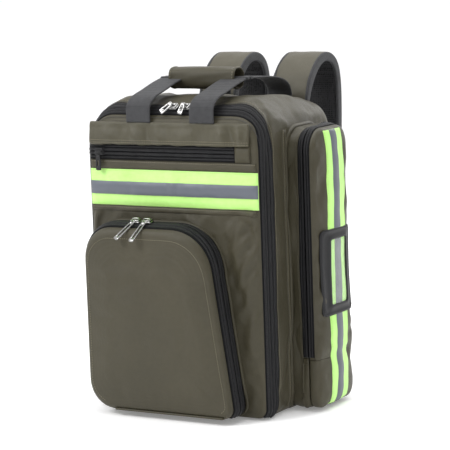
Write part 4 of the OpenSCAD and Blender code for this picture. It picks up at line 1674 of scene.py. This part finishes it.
def lower_webbing():
    """Adjusting webbing between each ladder lock and its sewn tab on the bag."""
    lock_low, lock_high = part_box("right_ladder_lock")
    lock = (lock_low + lock_high) / 2
    tab_low, tab_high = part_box("right_lower_tab")
    tab = (tab_low + tab_high) / 2
    start = np.array((lock.x, lock.y - 3 * MM, lock_low.z + 3 * MM))
    end = np.array((tab.x, tab_high.y + 1 * MM, tab_high.z - 6 * MM))
    mid = (start + end) / 2 + np.array((0, 5 * MM, -5 * MM))
    path = even_path(smooth_path([start, mid, end], 40), 4 * MM)
    section = rounded_section(24 * MM, 2.2 * MM, 1 * MM, 2, 12)
    strip = sweep("right_adjuster_web", path, Y + Z * 0.3, section, [webbing])
    place_pair(strip, "bag", "webbing", "right_strap_webbing",
               bend=("right_shoulder_strap", tuple(end), tuple(start)))
    pad_end = strap_line[-1] + tangents(strap_line)[-1] * -6 * MM
    loop = even_path(smooth_path([pad_end, (pad_end + lock) / 2, (lock.x, lock.y, lock_high.z - 3 * MM)],
                                 20), 3 * MM)
    top = sweep("right_lock_loop", loop, np.array((0, 1, 0.3)),
                rounded_section(25 * MM, 3 * MM, 1.2 * MM, 2, 12), [webbing])
    place_pair(top, "right_shoulder_strap", "webbing")
    path = np.array([(x, back_y, tab.z) for x in np.linspace(tab_low.x, tab_high.x, 12)])
    half = (tab_high.z - tab_low.z) / 2
    profile = [(-half, 0.4 * MM), (-half + 1.2 * MM, 3.6 * MM), (0, 4.2 * MM), (half - 1.2 * MM, 3.8 * MM),
               (half, 0.6 * MM)]
    patch = ribbon("right_webbing_tab", path, Y, Z, profile, body_tree, [webbing])
    tree = tree_of(patch)
    place_pair(patch, "bag", "webbing", "right_lower_tab")
    rows = [stitch("row", path + Z * dz, Y, tree, thread_black) for dz in (-10 * MM, 0, 10 * MM)]
    place_pair(join("right_tab_stitches", rows), "bag", "webbing")


strap_roots()
lower_webbing()


# ---------------------------------------------------------------- linings inside

def linings():
    low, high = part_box("padded_divider")
    divider = sheet_block("divider_pad", low, high, lining, 7 * MM, 0.4 * MM, 0.5 * MM)
    place(divider, "bag", "lining_fabric", "padded_divider")
    low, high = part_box("top_pocket_lining")
    place(sheet_block("top_pocket_bag", low, high, lining, 7 * MM, 0.2 * MM, 0.4 * MM), "lid",
          "lining_fabric", "top_pocket_lining")
    low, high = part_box("lid_mesh_pocket")
    place(sheet_block("lid_mesh", low, high, spacer, 7 * MM, 0.2 * MM, 0.6 * MM), "lid", "mesh",
          "lid_mesh_pocket")


linings()


# ---------------------------------------------------------------- sliders and pulls

def turned(name, points, faces, mat, place_at, turn):
    points = np.array(points) @ np.array(turn.to_3x3()).T + place_at
    return new_object(name, points, faces, [mat])


def rounded_plate(width, length, thick, hole, r, nose=1.0):
    """Zip pull lying along -Y from its pivot, with a long slot or a round hole in it."""
    outer = arc_ring([(-width / 2, -length, r), (width / 2, -length, r),
                      (width / 2 * nose, 2 * MM, r * nose), (-width / 2 * nose, 2 * MM,
                                                             r * nose)], 4, (3, 6, 3, 6))
    inner = arc_ring([(-hole / 2, -length + 3.2 * MM + hole, hole * 0.49),
                      (-hole / 2 + hole, -length + 3.2 * MM + hole, hole * 0.49),
                      (hole / 2, -5 * MM, hole * 0.49), (-hole / 2, -5 * MM, hole * 0.49)], 4, (3, 6, 3, 6))
    bevel = 0.35 * MM
    inset = outer * (1 - bevel / (width / 2))
    stack = [(outer, bevel), (outer, thick - bevel), (inset, thick), (inner, thick), (inner, 0), (inset, 0)]
    return tube([np.column_stack([flat, np.full(len(flat), z)]) for flat, z in stack])


def slider_shape(mat):
    """Slider: two rounded plates, a post between them and a bridge for the pull."""
    parts = []
    for z, height, width in ((0.1, 2.0, 15), (2.4, 2.0, 13)):
        parts.append(block("plate", (-width / 2 * MM, -5.2 * MM, z * MM),
                           (width / 2 * MM, 5.2 * MM, (z + height) * MM), mat, 0.8 * MM))
    parts.append(block("post", (-2.5 * MM, -4 * MM, 1.8 * MM), (2.5 * MM, 4 * MM, 2.8 * MM), mat, 0.2 * MM))
    arch = smooth_path([(-0.005, 0, 0.0042), (-0.0042, 0, 0.0057), (0, 0, 0.0061), (0.0042, 0, 0.0057),
                        (0.005, 0, 0.0042)], 14)
    parts.append(sweep("bridge", arch, Y, rounded_section(1.2 * MM, 3 * MM, 0.5 * MM, 2, 2), [mat]))
    return parts


def add_slider(name, node, body_name, at, turn, mirrored_pair=False, mat=nickel):
    parts = slider_shape(mat)
    shape = join(name, parts)
    co = places(shape) @ np.array(turn.to_3x3()).T + at
    set_places(shape, co)
    (place_pair if mirrored_pair else place)(shape, body_name, "zip_metal", node)


def add_pull(name, node, body_name, at, turn, length, width=8.4 * MM, hole=3.2 * MM, mirrored_pair=False,
             mat=nickel):
    points, faces = rounded_plate(width, length - 3 * MM, 1.6 * MM, hole, 2.2 * MM, 0.8)
    shape = clean(turned(name, points, faces, mat, at, turn))
    (place_pair if mirrored_pair else place)(shape, body_name, "zip_metal", node)


def rot(degrees, axis):
    return Matrix.Rotation(math.radians(degrees), 4, axis)


def metalwork():
    main_x = (span("main_slider_left", 0)[0] + span("main_slider_right", 0)[1]) / 2
    front_x = (span("front_slider_left", 0)[0] + span("front_slider_right", 0)[1]) / 2
    for side, way, lean, length in (("left", -1, 48, 22), ("right", 1, 14, 18)):
        at = np.array((main_x + way * 10 * MM, split_y, lid_split_top + 3 * MM))
        add_slider(f"main_zip_{side}", f"main_slider_{side}", f"main_{side}_slider", at, rot(30, "X"))
        at = np.array((main_x + way * 10 * MM, split_y - 6.1 * MM, lid_split_top + 8.6 * MM))
        add_pull(f"main_pull_{side}", f"main_puller_{side}", f"main_{side}_pull", at,
                 rot(66, "X") @ rot(-lean, "Z"), length * MM)
    for side, way, lean in (("left", -1, 25), ("right", 1, 12)):
        top = pocket_high.z
        at = np.array((front_x + way * 9 * MM, pocket_split_y - 2 * MM, top + 2.6 * MM))
        add_slider(f"front_zip_{side}", f"front_slider_{side}", f"front_{side}_slider", at, rot(12, "X"))
        at = np.array((front_x + way * 9 * MM, pocket_split_y - 10.5 * MM, top + 3.5 * MM))
        add_pull(f"front_pull_{side}", f"front_puller_{side}", f"front_{side}_pull", at,
                 rot(42, "X") @ rot(-lean, "Z"), 38 * MM)
    low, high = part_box("top_pocket_slider")
    at = np.array(((low.x + high.x) / 2, front_y - 1.5 * MM, (low.z + high.z) / 2))
    add_slider("top_zip_slider", "top_pocket_slider", "top_slider", at, rot(90, "X"), mat=acetal)
    at = at + np.array((0, -5 * MM, -7 * MM))
    add_pull("top_zip_pull", "top_pocket_puller", "top_pull", at, rot(90, "X"), 22 * MM, mat=acetal)
    low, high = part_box("right_side_slider")
    at = np.array((side_split_x, low.y, (low.z + high.z) / 2))
    add_slider("right_side_zip_slider", "right_side_slider", "right_pocket_slider", at,
               rot(-90, "X") @ rot(90, "Z"), True)
    low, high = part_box("right_side_puller")
    at = np.array((side_split_x, high.y, high.z - 2 * MM))
    add_pull("right_side_zip_pull", "right_side_puller", "right_pocket_pull", at, rot(90, "X"), 28 * MM,
             mirrored_pair=True)


metalwork()

for node, mat in (("base_board", sheet_plastic), ("frame_sheet", sheet_plastic),
                  ("right_ladder_lock", acetal), ("left_ladder_lock", acetal)):
    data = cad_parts[node].data
    data.materials.clear()
    data.materials.append(mat)
